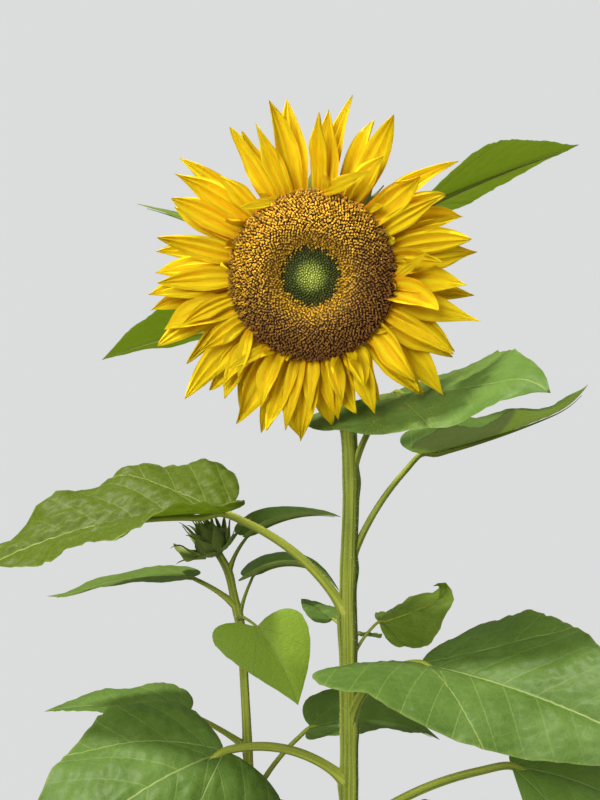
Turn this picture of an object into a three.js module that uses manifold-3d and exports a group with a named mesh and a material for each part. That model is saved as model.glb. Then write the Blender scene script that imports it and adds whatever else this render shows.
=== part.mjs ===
// A sunflower plant in flower, rooted in the ground, in millimetres with +Z up.
// The origin is the middle of the flat cut under the main stem, at ground level.
// The flower faces -Y, and +X is to the right of somebody who looks it in the face.
import * as THREE from "three";
import { mergeVertices } from "three/addons/utils/BufferGeometryUtils.js";
import { LoftGeometry } from "three/addons/geometries/LoftGeometry.js";
import Module from "manifold-3d";

const wasm = await Module();
wasm.setup();

// ---- Driving dimensions ----

const HEAD_HEIGHT = 1106; // ground to the middle of the flower head
const HEAD_DIAMETER = 236; // across the ray florets
const DISC_RADIUS = 0.238 * HEAD_DIAMETER;
const STEM_FOOT_RADIUS = 0.009 * HEAD_HEIGHT;
const STEM_NECK_RADIUS = 0.53 * STEM_FOOT_RADIUS;
const SIDE_STEM_RADIUS = 0.55 * STEM_FOOT_RADIUS;
const SEAT_GAP = 0.3; // between a stalk's foot and the stem that carries it

const point = (x, y, z) => new THREE.Vector3(x, y, z);
const radians = THREE.MathUtils.degToRad;
const mix = THREE.MathUtils.lerp;

// A repeatable number from 0 to 1 for the n-th item and the k-th thing about it.
function chance(n, k) {
  const wave = Math.sin(n * 12.9898 + k * 78.233) * 43758.5453;
  return wave - Math.floor(wave);
}

const about = (middle, spread, n, k) => middle + spread * (2 * chance(n, k) - 1);

// ---- Solids ----

// Turns a closed geometry into a manifold-3d solid. Faces that have shrunk to a line, as they
// do where a shape comes to a point, are left out.
function toSolid(geometry) {
  const bare = new THREE.BufferGeometry()
    .setAttribute("position", geometry.attributes.position)
    .setIndex(geometry.index);
  const merged = mergeVertices(bare, 1e-4);
  const corners = merged.index.array;
  const faces = [];
  for (let i = 0; i < corners.length; i += 3) {
    const face = corners.slice(i, i + 3);
    if (new Set(face).size === 3) faces.push(...face);
  }
  return new wasm.Manifold(
    new wasm.Mesh({
      numProp: 3,
      vertProperties: merged.attributes.position.array,
      triVerts: new Uint32Array(faces),
    }),
  );
}

// Turns a solid back into a geometry, without any loose scrap that a cut left.
function toGeometry(solid) {
  const pieces = solid.decompose();
  const largest = pieces.reduce((a, b) => (a.volume() > b.volume() ? a : b));
  const mesh = largest.getMesh();
  return new THREE.BufferGeometry()
    .setAttribute("position", new THREE.BufferAttribute(mesh.vertProperties, 3))
    .setIndex(new THREE.BufferAttribute(mesh.triVerts, 1));
}

const fuse = (geometries) => wasm.Manifold.union(geometries.map(toSolid));

const capped = { capStart: true, capEnd: true };

// A round limb along a curve. radiusAt gives its radius at a share of its length.
function limb(curve, radiusAt, steps, sides) {
  const { normals, binormals } = curve.computeFrenetFrames(steps, false);
  const sections = [];
  for (let i = 0; i <= steps; i++) {
    const middle = curve.getPointAt(i / steps);
    const radius = radiusAt(i / steps);
    const ring = [];
    for (let j = 0; j < sides; j++) {
      const angle = (j / sides) * 2 * Math.PI;
      ring.push(
        middle
          .clone()
          .addScaledVector(normals[i], radius * Math.cos(angle))
          .addScaledVector(binormals[i], radius * Math.sin(angle)),
      );
    }
    sections.push(ring);
  }
  return new LoftGeometry(sections, capped);
}

// A solid turned round +Z from a closed profile of [radius, height] pairs, in order upwards.
const turned = (profile, sides) =>
  new THREE.LatheGeometry(
    profile.map(([radius, height]) => new THREE.Vector2(radius, height)),
    sides,
  ).rotateX(Math.PI / 2);

// ---- Stems ----

const FACING = point(-0.1, -0.985, -0.139).normalize(); // where the flower looks
const HEAD_CENTRE = point(-31, -80, HEAD_HEIGHT);
const RECEPTACLE_DEPTH = 25;
const NECK_END = HEAD_CENTRE.clone().addScaledVector(FACING, -RECEPTACLE_DEPTH - SEAT_GAP);
const NECK_START = NECK_END.clone().addScaledVector(FACING, -22);

const mainCurve = new THREE.CatmullRomCurve3(
  [
    point(0, 0, 0),
    point(0, 0, 25),
    point(0, 0, 50),
    point(4, 2, 220),
    point(1, -2, 430),
    point(-3, 1, 620),
    point(-2, 2, 760),
    point(-3, 1, 880),
    point(-1, 0, 960),
    point(-5, 4, 1030),
    point(-12, 6, 1075),
    point(-19, -6, 1106),
    NECK_START,
    NECK_END,
  ],
  false,
  "centripetal",
);

// The main stem swells to its root flare over the lowest part, and to its neck at the top.
function mainRadius(share) {
  const flare = 0.75 * Math.exp(-share / 0.018);
  const neck = 0.9 * Math.exp((share - 1) / 0.022);
  return mix(STEM_FOOT_RADIUS, STEM_NECK_RADIUS, share ** 0.85) * (1 + flare + neck);
}

const SIDE_ROOT_HEIGHT = 255;
const sideCurve = new THREE.CatmullRomCurve3(
  [
    point(4, 3, SIDE_ROOT_HEIGHT),
    point(-20, 12, 285),
    point(-52, 30, 370),
    point(-72, 44, 520),
    point(-78, 50, 690),
    point(-83, 52, 790),
    point(-86, 52, 838),
    point(-92, 52, 868),
    point(-97, 52, 887),
    point(-104, 51, 900),
  ],
  false,
  "centripetal",
);

const sideRadius = (share) =>
  mix(SIDE_STEM_RADIUS, 0.55 * SIDE_STEM_RADIUS, share) * (1 + 0.5 * Math.exp(-share / 0.03));

const STEMS = {
  main: { curve: mainCurve, radius: mainRadius, steps: 34, sides: 12 },
  side: { curve: sideCurve, radius: sideRadius, steps: 22, sides: 8 },
};

// The same stem, grown by the gap that its neighbours keep to its flat sides.
function stemCutter({ curve, radius, steps, sides }) {
  const growth = SEAT_GAP / Math.cos(Math.PI / sides);
  return toSolid(limb(curve, (share) => radius(share) + growth, steps, sides));
}

// The share of a stem's length at which it passes a height.
function shareAtHeight(curve, height) {
  let low = 0;
  let high = 1;
  for (let i = 0; i < 30; i++) {
    const middle = (low + high) / 2;
    if (curve.getPointAt(middle).z < height) low = middle;
    else high = middle;
  }
  return low;
}

// ---- Leaves ----

// Each leaf leaves its stem at a height, towards a bearing: 0 is +X and 90 is +Y. stalk holds
// the stalk's length and its slope at the stem and at the blade, and blade holds the blade's
// length and width and its slope at its foot and at its tip. left and right hold how steeply
// that half stands up from the midrib, how far it has arched over at its edge, and how far
// back its lobe reaches, as a share of the length. swing turns the stalk's bearing on its way
// out, and bend the blade's. roll tilts the blade about its midrib, and twist goes on tilting
// it to the tip. All angles are in degrees.
const LEAF = { swing: 0, bend: 0, roll: 0, twist: 0, left: [16, -24, 0.3], right: [16, -24, 0.3] };

const MAIN_LEAVES = [
  {
    at: 1045, bearing: 20, bend: -12, stalk: [143, 84, 44], blade: [150, 104, 26, 18],
    left: [-14, 0, -0.12], right: [28, -8, -0.12],
  },
  { at: 1062, bearing: 165, stalk: [62, 70, 44], blade: [148, 60, 38, 14] },
  {
    at: 1008, bearing: 160, stalk: [112, 70, 14], blade: [134, 84, 0, -22],
    left: [34, -8, 0.1], right: [-7, 0, 0.1],
  },
  {
    at: 960, bearing: -16, swing: -31, twist: 34, stalk: [80, 80, 40], blade: [136, 136, 0, 12],
    left: [20, -16, 0.1], right: [-21, -6, 0.45],
  },
  {
    at: 895, bearing: 5, stalk: [104, 72, 42], blade: [142, 95, 12, 25],
    left: [24, -4, 0.2], right: [24, -4, 0.2],
  },
  {
    at: 860, bearing: 187, twist: -10, stalk: [126, 61, 18], blade: [196, 140, 4, -32],
    left: [24, -10, 0.2], right: [38, -20, 0.2],
  },
  { at: 848, bearing: 125, stalk: [20, 24, 14], blade: [44, 40, 16, 8] },
  { at: 838, bearing: 60, stalk: [20, 30, 0], blade: [40, 26, -10, -20] },
  {
    at: 810, bearing: 15, stalk: [52, 88, 35], blade: [70, 72, 12, 26],
    left: [5, -10, 0], right: [-40, 10, 0.1],
  },
  {
    at: 775, bearing: -55, swing: 20, roll: -16, twist: 60, stalk: [96, 75, 8],
    blade: [190, 155, -2, -22], left: [34, -14, 0.1], right: [-6, -30, 0.5],
  },
  {
    at: 734, bearing: 192, swing: 22, stalk: [110, 45, -5], blade: [190, 160, -5, -50],
    left: [-20, 60, 0.4], right: [34, -20, 0.1],
  },
  {
    at: 695, bearing: -20, stalk: [140, 44, 13], blade: [185, 150, 0, -55],
    left: [20, -20, 0.1], right: [-30, -20, -0.1],
  },
];

const SIDE_LEAVES = [
  {
    at: 858, bearing: 185, stalk: [44, 43, 22], blade: [114, 52, 8, -30],
    left: [6, 0, 0.2], right: [8, 0, 0.2],
  },
  {
    at: 884, bearing: 17, stalk: [34, 76, 46], blade: [82, 50, 32, -14],
    left: [28, -10, 0.2], right: [22, 0, 0.2],
  },
  {
    at: 848, bearing: 0, stalk: [37, 80, 62], blade: [78, 58, 35, -58],
    left: [26, -20, 0.3], right: [20, -10, 0.3],
  },
  {
    at: 846, bearing: -100, swing: 73, roll: 48, stalk: [38, 40, -35], blade: [67, 69, -45, -70],
    left: [5, -10, 0.1], right: [5, -10, 0.5],
  },
  {
    at: 745, bearing: 178, stalk: [56, 37, 22], blade: [116, 80, 12, -12],
    left: [0, 0, 0.1], right: [18, -10, 0.1],
  },
  {
    at: 700, bearing: 10, stalk: [78, 66, 35], blade: [112, 80, 15, -32],
    left: [30, -10, 0.1], right: [0, 0, 0.2],
  },
];

// Lower down the leaves follow each other round the stem by the golden angle, largest at
// middle height, and hang more the older they are.
const GOLDEN_ANGLE = 137.5;

function lowerLeaf(i, { count, top, step, bearing, length }) {
  const size = 1 - 0.42 * (i / count) ** 2;
  const droop = mix(0, 14, i / count);
  return {
    at: top - step * i,
    bearing: about(bearing + GOLDEN_ANGLE * i, 8, i, 1),
    swing: about(0, 10, i, 2),
    stalk: [0.68 * length * size, about(46 - droop, 4, i, 3), about(10 - droop, 5, i, 4)],
    blade: [length * size, 0.82 * length * size, about(-5 - droop, 6, i, 5), -48 - droop],
    roll: about(0, 10, i, 6),
    twist: about(0, 14, i, 7),
  };
}

const MAIN_LOWER = { count: 9, top: 650, step: 48, bearing: 250, length: 196 };
const SIDE_LOWER = { count: 2, top: 625, step: 90, bearing: 75, length: 128 };
const lowerLeaves = (set) => Array.from({ length: set.count }, (_, i) => lowerLeaf(i, set));

const BLADE_ROWS = 8;
const BLADE_COLUMNS = 2; // on each side of the midrib

// The direction that has a bearing and a slope.
const heading = (turn, tilt) =>
  point(Math.cos(turn) * Math.cos(tilt), Math.sin(turn) * Math.cos(tilt), Math.sin(tilt));

// Points and directions along a path whose bearing and slope change evenly, in degrees.
function course(start, bearing, slope, length, steps) {
  const stations = [];
  const at = start.clone();
  for (let i = 0; i <= steps; i++) {
    const turn = radians(mix(...bearing, i / steps));
    const along = heading(turn, radians(mix(...slope, i / steps)));
    stations.push({ at: at.clone(), along, turn });
    const next = (i + 0.5) / steps;
    const onward = heading(radians(mix(...bearing, next)), radians(mix(...slope, next)));
    at.addScaledVector(onward, length / steps);
  }
  return stations;
}

// The place and the three directions at a distance along a blade's midrib. A distance below
// 0 runs straight back from the blade's foot, under its lobes.
function midribFrame(stations, length, distance, leaf) {
  const share = THREE.MathUtils.clamp(distance / length, 0, 1);
  const index = Math.min(Math.floor(share * (stations.length - 1)), stations.length - 2);
  const part = share * (stations.length - 1) - index;
  const [a, b] = [stations[index], stations[index + 1]];
  const at = a.at.clone().lerp(b.at, part);
  const along = a.along.clone().lerp(b.along, part).normalize();
  const turn = mix(a.turn, b.turn, part);
  if (distance < 0) at.addScaledVector(along, distance);
  const level = point(-Math.sin(turn), Math.cos(turn), 0);
  const roll = radians(leaf.roll + leaf.twist * share);
  const up = new THREE.Vector3().crossVectors(along, level);
  const left = level.clone().multiplyScalar(Math.cos(roll)).addScaledVector(up, Math.sin(roll));
  return { at, along, left, up: new THREE.Vector3().crossVectors(along, left) };
}

// A point of a blade: row runs from 0 at its foot to 1 at its tip, and column from -1 at its
// right edge to 1 at its left one.
function bladePoint(stations, leaf, row, column) {
  const side = Math.abs(column);
  const [length, width] = leaf.blade;
  const [foot, arch, lobe] = column > 0 ? leaf.left : leaf.right;
  const back = lobe * Math.sin(Math.PI * Math.sqrt(row)) * (1 - row);
  const reach = 0.5 * width * Math.sin(Math.PI * row ** 0.55) ** 1.1;
  const frame = midribFrame(stations, length, length * mix(row ** 1.6, row - back, side), leaf);
  const slope = radians(foot + 0.5 * arch * side);
  frame.at.addScaledVector(frame.left, Math.sign(column) * reach * side * Math.cos(slope));
  frame.at.addScaledVector(frame.up, reach * side * Math.sin(slope));
  return frame;
}

// One leaf as a solid: a thin blade with its stalk, which goes on into the blade as its rib.
function leafGeometry(spec, cutter) {
  const leaf = { ...LEAF, ...spec };
  const { curve } = STEMS[leaf.stem];
  const [stalkLength, ...stalkSlope] = leaf.stalk;
  const [length, , ...bladeSlope] = leaf.blade;
  const start = curve.getPointAt(shareAtHeight(curve, leaf.at));
  const facing = leaf.bearing + leaf.swing;
  const stalk = course(start, [leaf.bearing, facing], stalkSlope, stalkLength, 6);
  const rib = course(stalk.at(-1).at, [facing, facing + leaf.bend], bladeSlope, length, 12);

  const thick = Math.max(1.4, length / 95);
  const face = (row, height) =>
    Array.from({ length: 2 * BLADE_COLUMNS + 1 }, (_, j) => {
      const { at, up } = bladePoint(rib, leaf, row, j / BLADE_COLUMNS - 1);
      return at.addScaledVector(up, height);
    });
  const sections = Array.from({ length: BLADE_ROWS + 1 }, (_, i) => {
    const deep = i > 0 && i < BLADE_ROWS ? thick / 2 : 0;
    const row = (i / BLADE_ROWS) ** 1.25;
    return [...face(row, -deep), ...face(row, deep).reverse()];
  });

  const path = [...stalk.map((s) => s.at), rib[1].at];
  const spine = new THREE.CatmullRomCurve3(path, false, "centripetal");
  const radius = 0.011 * length + 0.8;
  const stalkGeometry = limb(spine, (t) => radius * mix(1.15, 0.7, t), 6, 6);
  return toGeometry(fuse([new LoftGeometry(sections), stalkGeometry]).subtract(cutter));
}

// ---- Flower head ----
// It is built round +Z, from the middle of the disc's rim plane, and then turned to face its way.

const RIM_DEPTH = 2.5;
const RING_TOP = -RIM_DEPTH - SEAT_GAP;
const RING_BOTTOM = RING_TOP - 7;
const RAY_REACH = HEAD_DIAMETER / 2;

// The disc of small florets: a low dome with a hollow in its middle.
const discGeometry = () =>
  turned(
    [
      [0, -RIM_DEPTH],
      [0.96 * DISC_RADIUS, -RIM_DEPTH],
      [DISC_RADIUS, 1.5],
      [0.96 * DISC_RADIUS, 6],
      [0.86 * DISC_RADIUS, 11],
      [0.7 * DISC_RADIUS, 14.5],
      [0.54 * DISC_RADIUS, 14.5],
      [0.42 * DISC_RADIUS, 11],
      [0.28 * DISC_RADIUS, 9],
      [0.12 * DISC_RADIUS, 9.5],
      [0, 8],
    ],
    36,
  );

const RAY_HANG = 9; // degrees that the lowest ray hangs forward

// The rays over the leaf under the head stay shorter, by a share that falls away to each side.
const SHORT_RAYS = { angle: radians(-70), spread: radians(18), share: 0.2 };

function rayLength(angle, reach) {
  const off = THREE.MathUtils.euclideanModulo(angle - SHORT_RAYS.angle + Math.PI, 2 * Math.PI) - Math.PI;
  return reach * (1 - SHORT_RAYS.share * Math.exp(-((off / SHORT_RAYS.spread) ** 2)));
}

const WHORLS = [
  { count: 16, lean: -7, reach: 1.0, width: 21 },
  { count: 15, lean: 3, reach: 0.95, width: 20 },
  { count: 12, lean: 13, reach: 0.84, width: 17 },
];

const SLIVER_STEPS = 20;
const SLIVER_SECTIONS = [0, 6, 13, 20]; // the steps that get a section

// A thin pointed blade with a four-sided section, such as a ray floret or a bract. It starts
// at a radius and height, leans out of the plane by the first angle and ends at the second.
function sliver({ angle, radius, height, length, width, thick, lean, swing, belly }) {
  const bearing = THREE.MathUtils.radToDeg(angle);
  const start = point(Math.cos(angle) * radius, Math.sin(angle) * radius, height);
  const path = course(start, [bearing, bearing + swing], lean, length, SLIVER_STEPS);
  const sections = SLIVER_SECTIONS.map((step) => {
    const share = step / SLIVER_STEPS;
    const { at, along, turn } = path[step];
    const left = point(-Math.sin(turn), Math.cos(turn), 0);
    const up = new THREE.Vector3().crossVectors(along, left);
    const half = 0.5 * width * sliverWidth(share, belly);
    const deep = 0.5 * thick * mix(1, 0.5, share);
    return [
      at.clone().addScaledVector(left, -half),
      at.clone().addScaledVector(up, -deep),
      at.clone().addScaledVector(left, half),
      at.clone().addScaledVector(up, deep),
    ];
  });
  return new LoftGeometry(sections, capped);
}

// The share of its full width that a sliver has along its length. belly is where it is widest.
function sliverWidth(share, belly) {
  if (share < belly) return mix(0.35, 1, Math.sin((0.5 * Math.PI * share) / belly));
  return Math.max(0.04, 1 - ((share - belly) / (1 - belly)) ** 2);
}

function raysGeometry() {
  const outer = DISC_RADIUS + 1;
  const ring = turned(
    [
      [0.8 * DISC_RADIUS, RING_BOTTOM],
      [outer, RING_BOTTOM],
      [outer, RING_TOP],
      [0.8 * DISC_RADIUS, RING_TOP],
      [0.8 * DISC_RADIUS, RING_BOTTOM],
    ],
    24,
  );
  const rays = WHORLS.flatMap(({ count, lean, reach, width }, whorl) =>
    Array.from({ length: count }, (_, i) => {
      const n = 100 * whorl + i;
      const start = 0.96 * DISC_RADIUS;
      const angle = ((i + 0.33 * whorl + about(0, 0.2, n, 2)) / count) * 2 * Math.PI;
      const from = about(lean, 4, n, 1) + RAY_HANG * Math.max(0, -Math.sin(angle));
      return sliver({
        angle,
        radius: start,
        height: mix(RING_BOTTOM, RING_TOP, (whorl + 0.5) / WHORLS.length),
        length: rayLength(angle, reach) * RAY_REACH * about(0.97, 0.04, n, 3) - start,
        width: about(width, 2, n, 4),
        thick: 1.6,
        lean: [from, from + about(-4, 8, n, 5)],
        swing: about(0, 10, n, 6),
        belly: 0.5,
      });
    }),
  );
  return toGeometry(fuse([ring, ...rays]));
}

const BRACT_ROWS = [
  { count: 12, height: -14, lean: [-24, -36], length: 60, width: 20 },
  { count: 10, height: -17, lean: [-34, -55], length: 50, width: 17 },
];

// The green cup behind the disc, with its two rows of pointed bracts.
function receptacleGeometry() {
  const top = RING_BOTTOM - SEAT_GAP;
  const cup = turned(
    [
      [0, -RECEPTACLE_DEPTH],
      [1.9 * STEM_NECK_RADIUS, -RECEPTACLE_DEPTH],
      [0.5 * DISC_RADIUS, -21],
      [0.86 * DISC_RADIUS, -16],
      [0.99 * DISC_RADIUS, top - 2.5],
      [0.97 * DISC_RADIUS, top],
      [0, top],
    ],
    24,
  );
  const bracts = BRACT_ROWS.flatMap(({ count, height, lean, length, width }, row) =>
    Array.from({ length: count }, (_, i) => {
      const n = 500 + 50 * row + i;
      return sliver({
        angle: ((i + 0.5 * row + about(0, 0.12, n, 1)) / count) * 2 * Math.PI,
        radius: 0.78 * DISC_RADIUS,
        height,
        length: about(length, 5, n, 2),
        width,
        thick: 2.4,
        lean: lean.map((angle, end) => about(angle, 4 + 6 * end, n, 3 + end)),
        swing: about(0, 8, n, 5),
        belly: 0.3,
      });
    }),
  );
  return toGeometry(fuse([cup, ...bracts]));
}

// ---- Bud ----
// It too is built round +Z, from the middle of its flat foot, and carries on the side stem's line.

const BUD_RADIUS = 15;
const BUD_ROWS = [
  { count: 8, radius: 0.55, height: 4, lean: [62, 105], length: 31, width: 15 },
  { count: 7, radius: 0.6, height: 5, lean: [38, 66], length: 32, width: 10 },
  { count: 6, radius: 0.5, height: 3, lean: [12, -30], length: 28, width: 10 },
];

function budGeometry() {
  const core = turned(
    [
      [0, 0],
      [0.35 * BUD_RADIUS, 0],
      [0.8 * BUD_RADIUS, 4],
      [BUD_RADIUS, 11],
      [0.85 * BUD_RADIUS, 20],
      [0.4 * BUD_RADIUS, 25],
      [0, 26],
    ],
    12,
  );
  const bracts = BUD_ROWS.flatMap(({ count, radius, height, lean, length, width }, row) =>
    Array.from({ length: count }, (_, i) => {
      const n = 700 + 20 * row + i;
      return sliver({
        angle: ((i + 0.4 * row + about(0, 0.15, n, 1)) / count) * 2 * Math.PI,
        radius: radius * BUD_RADIUS,
        height,
        length: about(length, 4, n, 2),
        width,
        thick: 1.8,
        lean: lean.map((angle, end) => about(angle, 6, n, 3 + end)),
        swing: 0,
        belly: 0.35,
      });
    }),
  );
  return toGeometry(fuse([core, ...bracts]));
}

// ---- Assembly ----

const MATERIALS = {
  stem: new THREE.MeshStandardMaterial({ color: 0x7d9440, roughness: 0.65 }),
  leaf: new THREE.MeshStandardMaterial({ color: 0x4f7d2a, roughness: 0.55 }),
  bract: new THREE.MeshStandardMaterial({ color: 0x5c7c35, roughness: 0.7 }),
  ray: new THREE.MeshStandardMaterial({ color: 0xf2b90f, roughness: 0.5 }),
  disc: new THREE.MeshStandardMaterial({ color: 0x6e4318, roughness: 0.9 }),
};

const plant = new THREE.Group();
const cutters = { main: stemCutter(STEMS.main), side: stemCutter(STEMS.side) };

function addMesh(parent, name, geometry, material) {
  const mesh = new THREE.Mesh(geometry, MATERIALS[material]);
  mesh.name = name;
  parent.add(mesh);
}

// A group that stands at a place, with its own +Z turned to a direction.
function addGroup(place, direction) {
  const group = new THREE.Group();
  group.position.copy(place);
  group.quaternion.setFromUnitVectors(point(0, 0, 1), direction.clone().normalize());
  plant.add(group);
  return group;
}

const limbOf = ({ curve, radius, steps, sides }) => limb(curve, radius, steps, sides);
const sideStem = toSolid(limbOf(STEMS.side)).subtract(cutters.main);
addMesh(plant, "main_stem", toGeometry(toSolid(limbOf(STEMS.main))), "stem");
addMesh(plant, "side_stem", toGeometry(sideStem), "stem");

const head = addGroup(HEAD_CENTRE, FACING);
addMesh(head, "flower_disc", discGeometry(), "disc");
addMesh(head, "ray_florets", raysGeometry(), "ray");
addMesh(head, "receptacle", receptacleGeometry(), "bract");

const budFacing = sideCurve.getTangentAt(1);
const budFoot = sideCurve.getPointAt(1).addScaledVector(budFacing, SEAT_GAP);
addMesh(addGroup(budFoot, budFacing), "flower_bud", budGeometry(), "bract");

[...MAIN_LEAVES, ...lowerLeaves(MAIN_LOWER)].forEach((spec, i) => {
  const leaf = leafGeometry({ stem: "main", ...spec }, cutters.main);
  addMesh(plant, `leaf_${String(i + 1).padStart(2, "0")}`, leaf, "leaf");
});
[...SIDE_LEAVES, ...lowerLeaves(SIDE_LOWER)].forEach((spec, i) => {
  const leaf = leafGeometry({ stem: "side", ...spec }, cutters.side);
  addMesh(plant, `side_leaf_${i + 1}`, leaf, "leaf");
});

export default plant;
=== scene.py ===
"""Dresses the frame of a sunflower plant: its stems, leaves, flower head and bud.

The plant stands on the ground at the origin with +Z up, and its flower faces -Y. Shapes are
worked out in millimetres and stored in metres. Stems and leaves follow the rules of the frame's
solids, and add what those leave out.
"""
import math
from types import SimpleNamespace

import bpy
import numpy as np
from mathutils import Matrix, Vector


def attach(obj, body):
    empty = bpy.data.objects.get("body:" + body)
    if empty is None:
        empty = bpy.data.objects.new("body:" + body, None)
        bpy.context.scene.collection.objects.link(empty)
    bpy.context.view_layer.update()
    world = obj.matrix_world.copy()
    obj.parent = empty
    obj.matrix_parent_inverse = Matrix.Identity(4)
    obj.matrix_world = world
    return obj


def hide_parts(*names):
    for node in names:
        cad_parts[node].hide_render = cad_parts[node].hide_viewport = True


bl_info = {
    "name": "Sunflower plant",
    "version": (1, 0, 0),
    "blender": (4, 5, 0),
    "location": "3D View > Sidebar > Sunflower",
    "description": "Makes the stems, leaves, flower head and bud of a sunflower plant",
    "category": "Add Mesh",
}

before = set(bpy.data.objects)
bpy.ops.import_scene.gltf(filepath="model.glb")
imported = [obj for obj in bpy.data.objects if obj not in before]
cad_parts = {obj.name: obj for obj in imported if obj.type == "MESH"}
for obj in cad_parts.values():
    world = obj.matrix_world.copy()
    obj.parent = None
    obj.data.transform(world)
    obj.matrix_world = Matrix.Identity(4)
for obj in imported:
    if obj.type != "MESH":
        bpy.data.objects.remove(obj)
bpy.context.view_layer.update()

MM = 0.001  # metres in a millimetre
GOLDEN_ANGLE = 137.5  # degrees
SHARP_ANGLE = 65  # degrees between faces whose edge looks sharp
SIDEWAYS = np.array([1.0, 0, 0])
UPWARD = np.array([0, 0, 1.0])


# ---- Numbers ----


def chance(n, k):
    """A repeatable number from 0 to 1 for the n-th item and the k-th thing about it."""
    wave = math.sin(n * 12.9898 + k * 78.233) * 43758.5453
    return wave - math.floor(wave)


def about(middle, spread, n, k):
    return middle + spread * (2 * chance(n, k) - 1)


def mix(a, b, share):
    return a + (b - a) * share


def smooth(value, low, high):
    """0 below low and 1 above high, with an even passage between them."""
    share = np.clip((value - low) / (high - low), 0, 1)
    return share * share * (3 - 2 * share)


def unit(vectors):
    return vectors / np.maximum(np.linalg.norm(vectors, axis=-1, keepdims=True), 1e-9)


def heading(turn, tilt=0.0):
    """The direction that has a bearing and a slope, in radians."""
    flat = np.cos(tilt)
    sides = np.cos(turn) * flat, np.sin(turn) * flat, np.sin(tilt)
    return np.stack(np.broadcast_arrays(*sides), axis=-1)


def leftward(turn):
    """The level direction to the left of a bearing, in radians."""
    return np.stack([-np.sin(turn), np.cos(turn), 0 * turn], axis=-1)


def rolled(side, ahead, degrees):
    """A direction beside the one ahead, rolled about it."""
    angle = np.radians(degrees)[..., None]
    return side * np.cos(angle) + np.cross(ahead, side) * np.sin(angle)


def full_turn(count):
    """Angles spaced evenly round a full turn, in radians."""
    return np.arange(count) / count * 2 * math.pi


def ripples(x, y, size, seed):
    """A smooth uneven field from about -1 to 1, whose waves are about a size apart."""
    total = 0
    for k in range(5):
        turn = 2 * math.pi * chance(seed, 10 + k)
        scale = 2 * math.pi / (size * about(1.1, 0.35, seed, 20 + k))
        wave = (x * math.cos(turn) + y * math.sin(turn)) * scale
        total = total + np.sin(wave + 6.3 * chance(seed, 30 + k))
    return total / 3.2


def walk(start, way, length, steps):
    """Points, directions and bearings along a path of some length.

    way gives the bearing and slope, in radians, at shares of the length.
    """
    share = np.arange(steps + 1) / steps
    onward = heading(*way(share[:-1] + 0.5 / steps)) * length / steps
    points = start + np.vstack([np.zeros(3), np.cumsum(onward, axis=0)])
    return points, heading(*way(share)), way(share)[0]


# ---- Meshes ----


class Shape:
    """Points, faces and the values that materials read, gathered part by part."""

    def __init__(self):
        self.points = []
        self.faces = []
        self.slots = []
        self.values = []
        self.count = 0

    def add(self, points, faces, slot=0, **values):
        """Adds a part. Its faces are arrays of point numbers, each of one number of corners."""
        for group in faces:
            self.faces.append(np.asarray(group, int) + self.count)
            self.slots.append(np.full(len(group), slot))
        self.points.append(points)
        self.values.append((len(points), values))
        self.count += len(points)

    def build(self, name, materials):
        mesh = bpy.data.meshes.new(name)
        mesh.vertices.add(self.count)
        points = np.concatenate(self.points) * MM
        mesh.vertices.foreach_set("co", points.astype(np.float32).ravel())
        corners = np.concatenate([group.ravel() for group in self.faces])
        sizes = np.concatenate([np.full(len(g), g.shape[1]) for g in self.faces])
        mesh.loops.add(len(corners))
        mesh.loops.foreach_set("vertex_index", corners.astype(np.int32))
        mesh.polygons.add(len(sizes))
        starts = np.concatenate([[0], np.cumsum(sizes)[:-1]])
        mesh.polygons.foreach_set("loop_start", starts.astype(np.int32))
        mesh.polygons.foreach_set("material_index", np.concatenate(self.slots).astype(np.int32))
        mesh.polygons.foreach_set("use_smooth", np.ones(len(sizes), bool))
        for key in sorted({key for _, values in self.values for key in values}):
            self.store(mesh, key)
        for material in materials:
            mesh.materials.append(material)
        mesh.update(calc_edges=True)
        mesh.validate()
        mesh.set_sharp_from_angle(angle=math.radians(SHARP_ANGLE))
        piece = bpy.data.objects.new(name, mesh)
        bpy.context.scene.collection.objects.link(piece)
        return piece

    def store(self, mesh, key):
        """Stores one value as a mesh attribute: a number, or three of them, for each point."""
        wide = any(np.ndim(values.get(key, 0)) == 2 for _, values in self.values)
        shape = (3,) if wide else ()
        rows = [
            np.broadcast_to(values.get(key, 0.0), (count, *shape)) for count, values in self.values
        ]
        kind, field = ("FLOAT_VECTOR", "vector") if wide else ("FLOAT", "value")
        layer = mesh.attributes.new(key, kind, "POINT")
        layer.data.foreach_set(field, np.concatenate(rows).astype(np.float32).ravel())


def place(piece, slot, *nodes):
    """Puts a piece on the plant in place of its plain solids."""
    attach(piece, "root")
    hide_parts(*nodes)


def quads(numbers):
    """Faces of a grid of point numbers. They face the way from row to row turns to column."""
    a, b = numbers[:-1, :-1], numbers[1:, :-1]
    c, d = numbers[1:, 1:], numbers[:-1, 1:]
    return np.stack([a, b, c, d], axis=-1).reshape(-1, 4)


def triangles(numbers):
    """The same faces, each split in two, without those that have a corner twice."""
    a, b, c, d = quads(numbers).T
    halves = np.concatenate([np.stack([a, b, c], axis=-1), np.stack([a, c, d], axis=-1)])
    return halves[(halves != np.roll(halves, -1, axis=1)).all(axis=1)]


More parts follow.
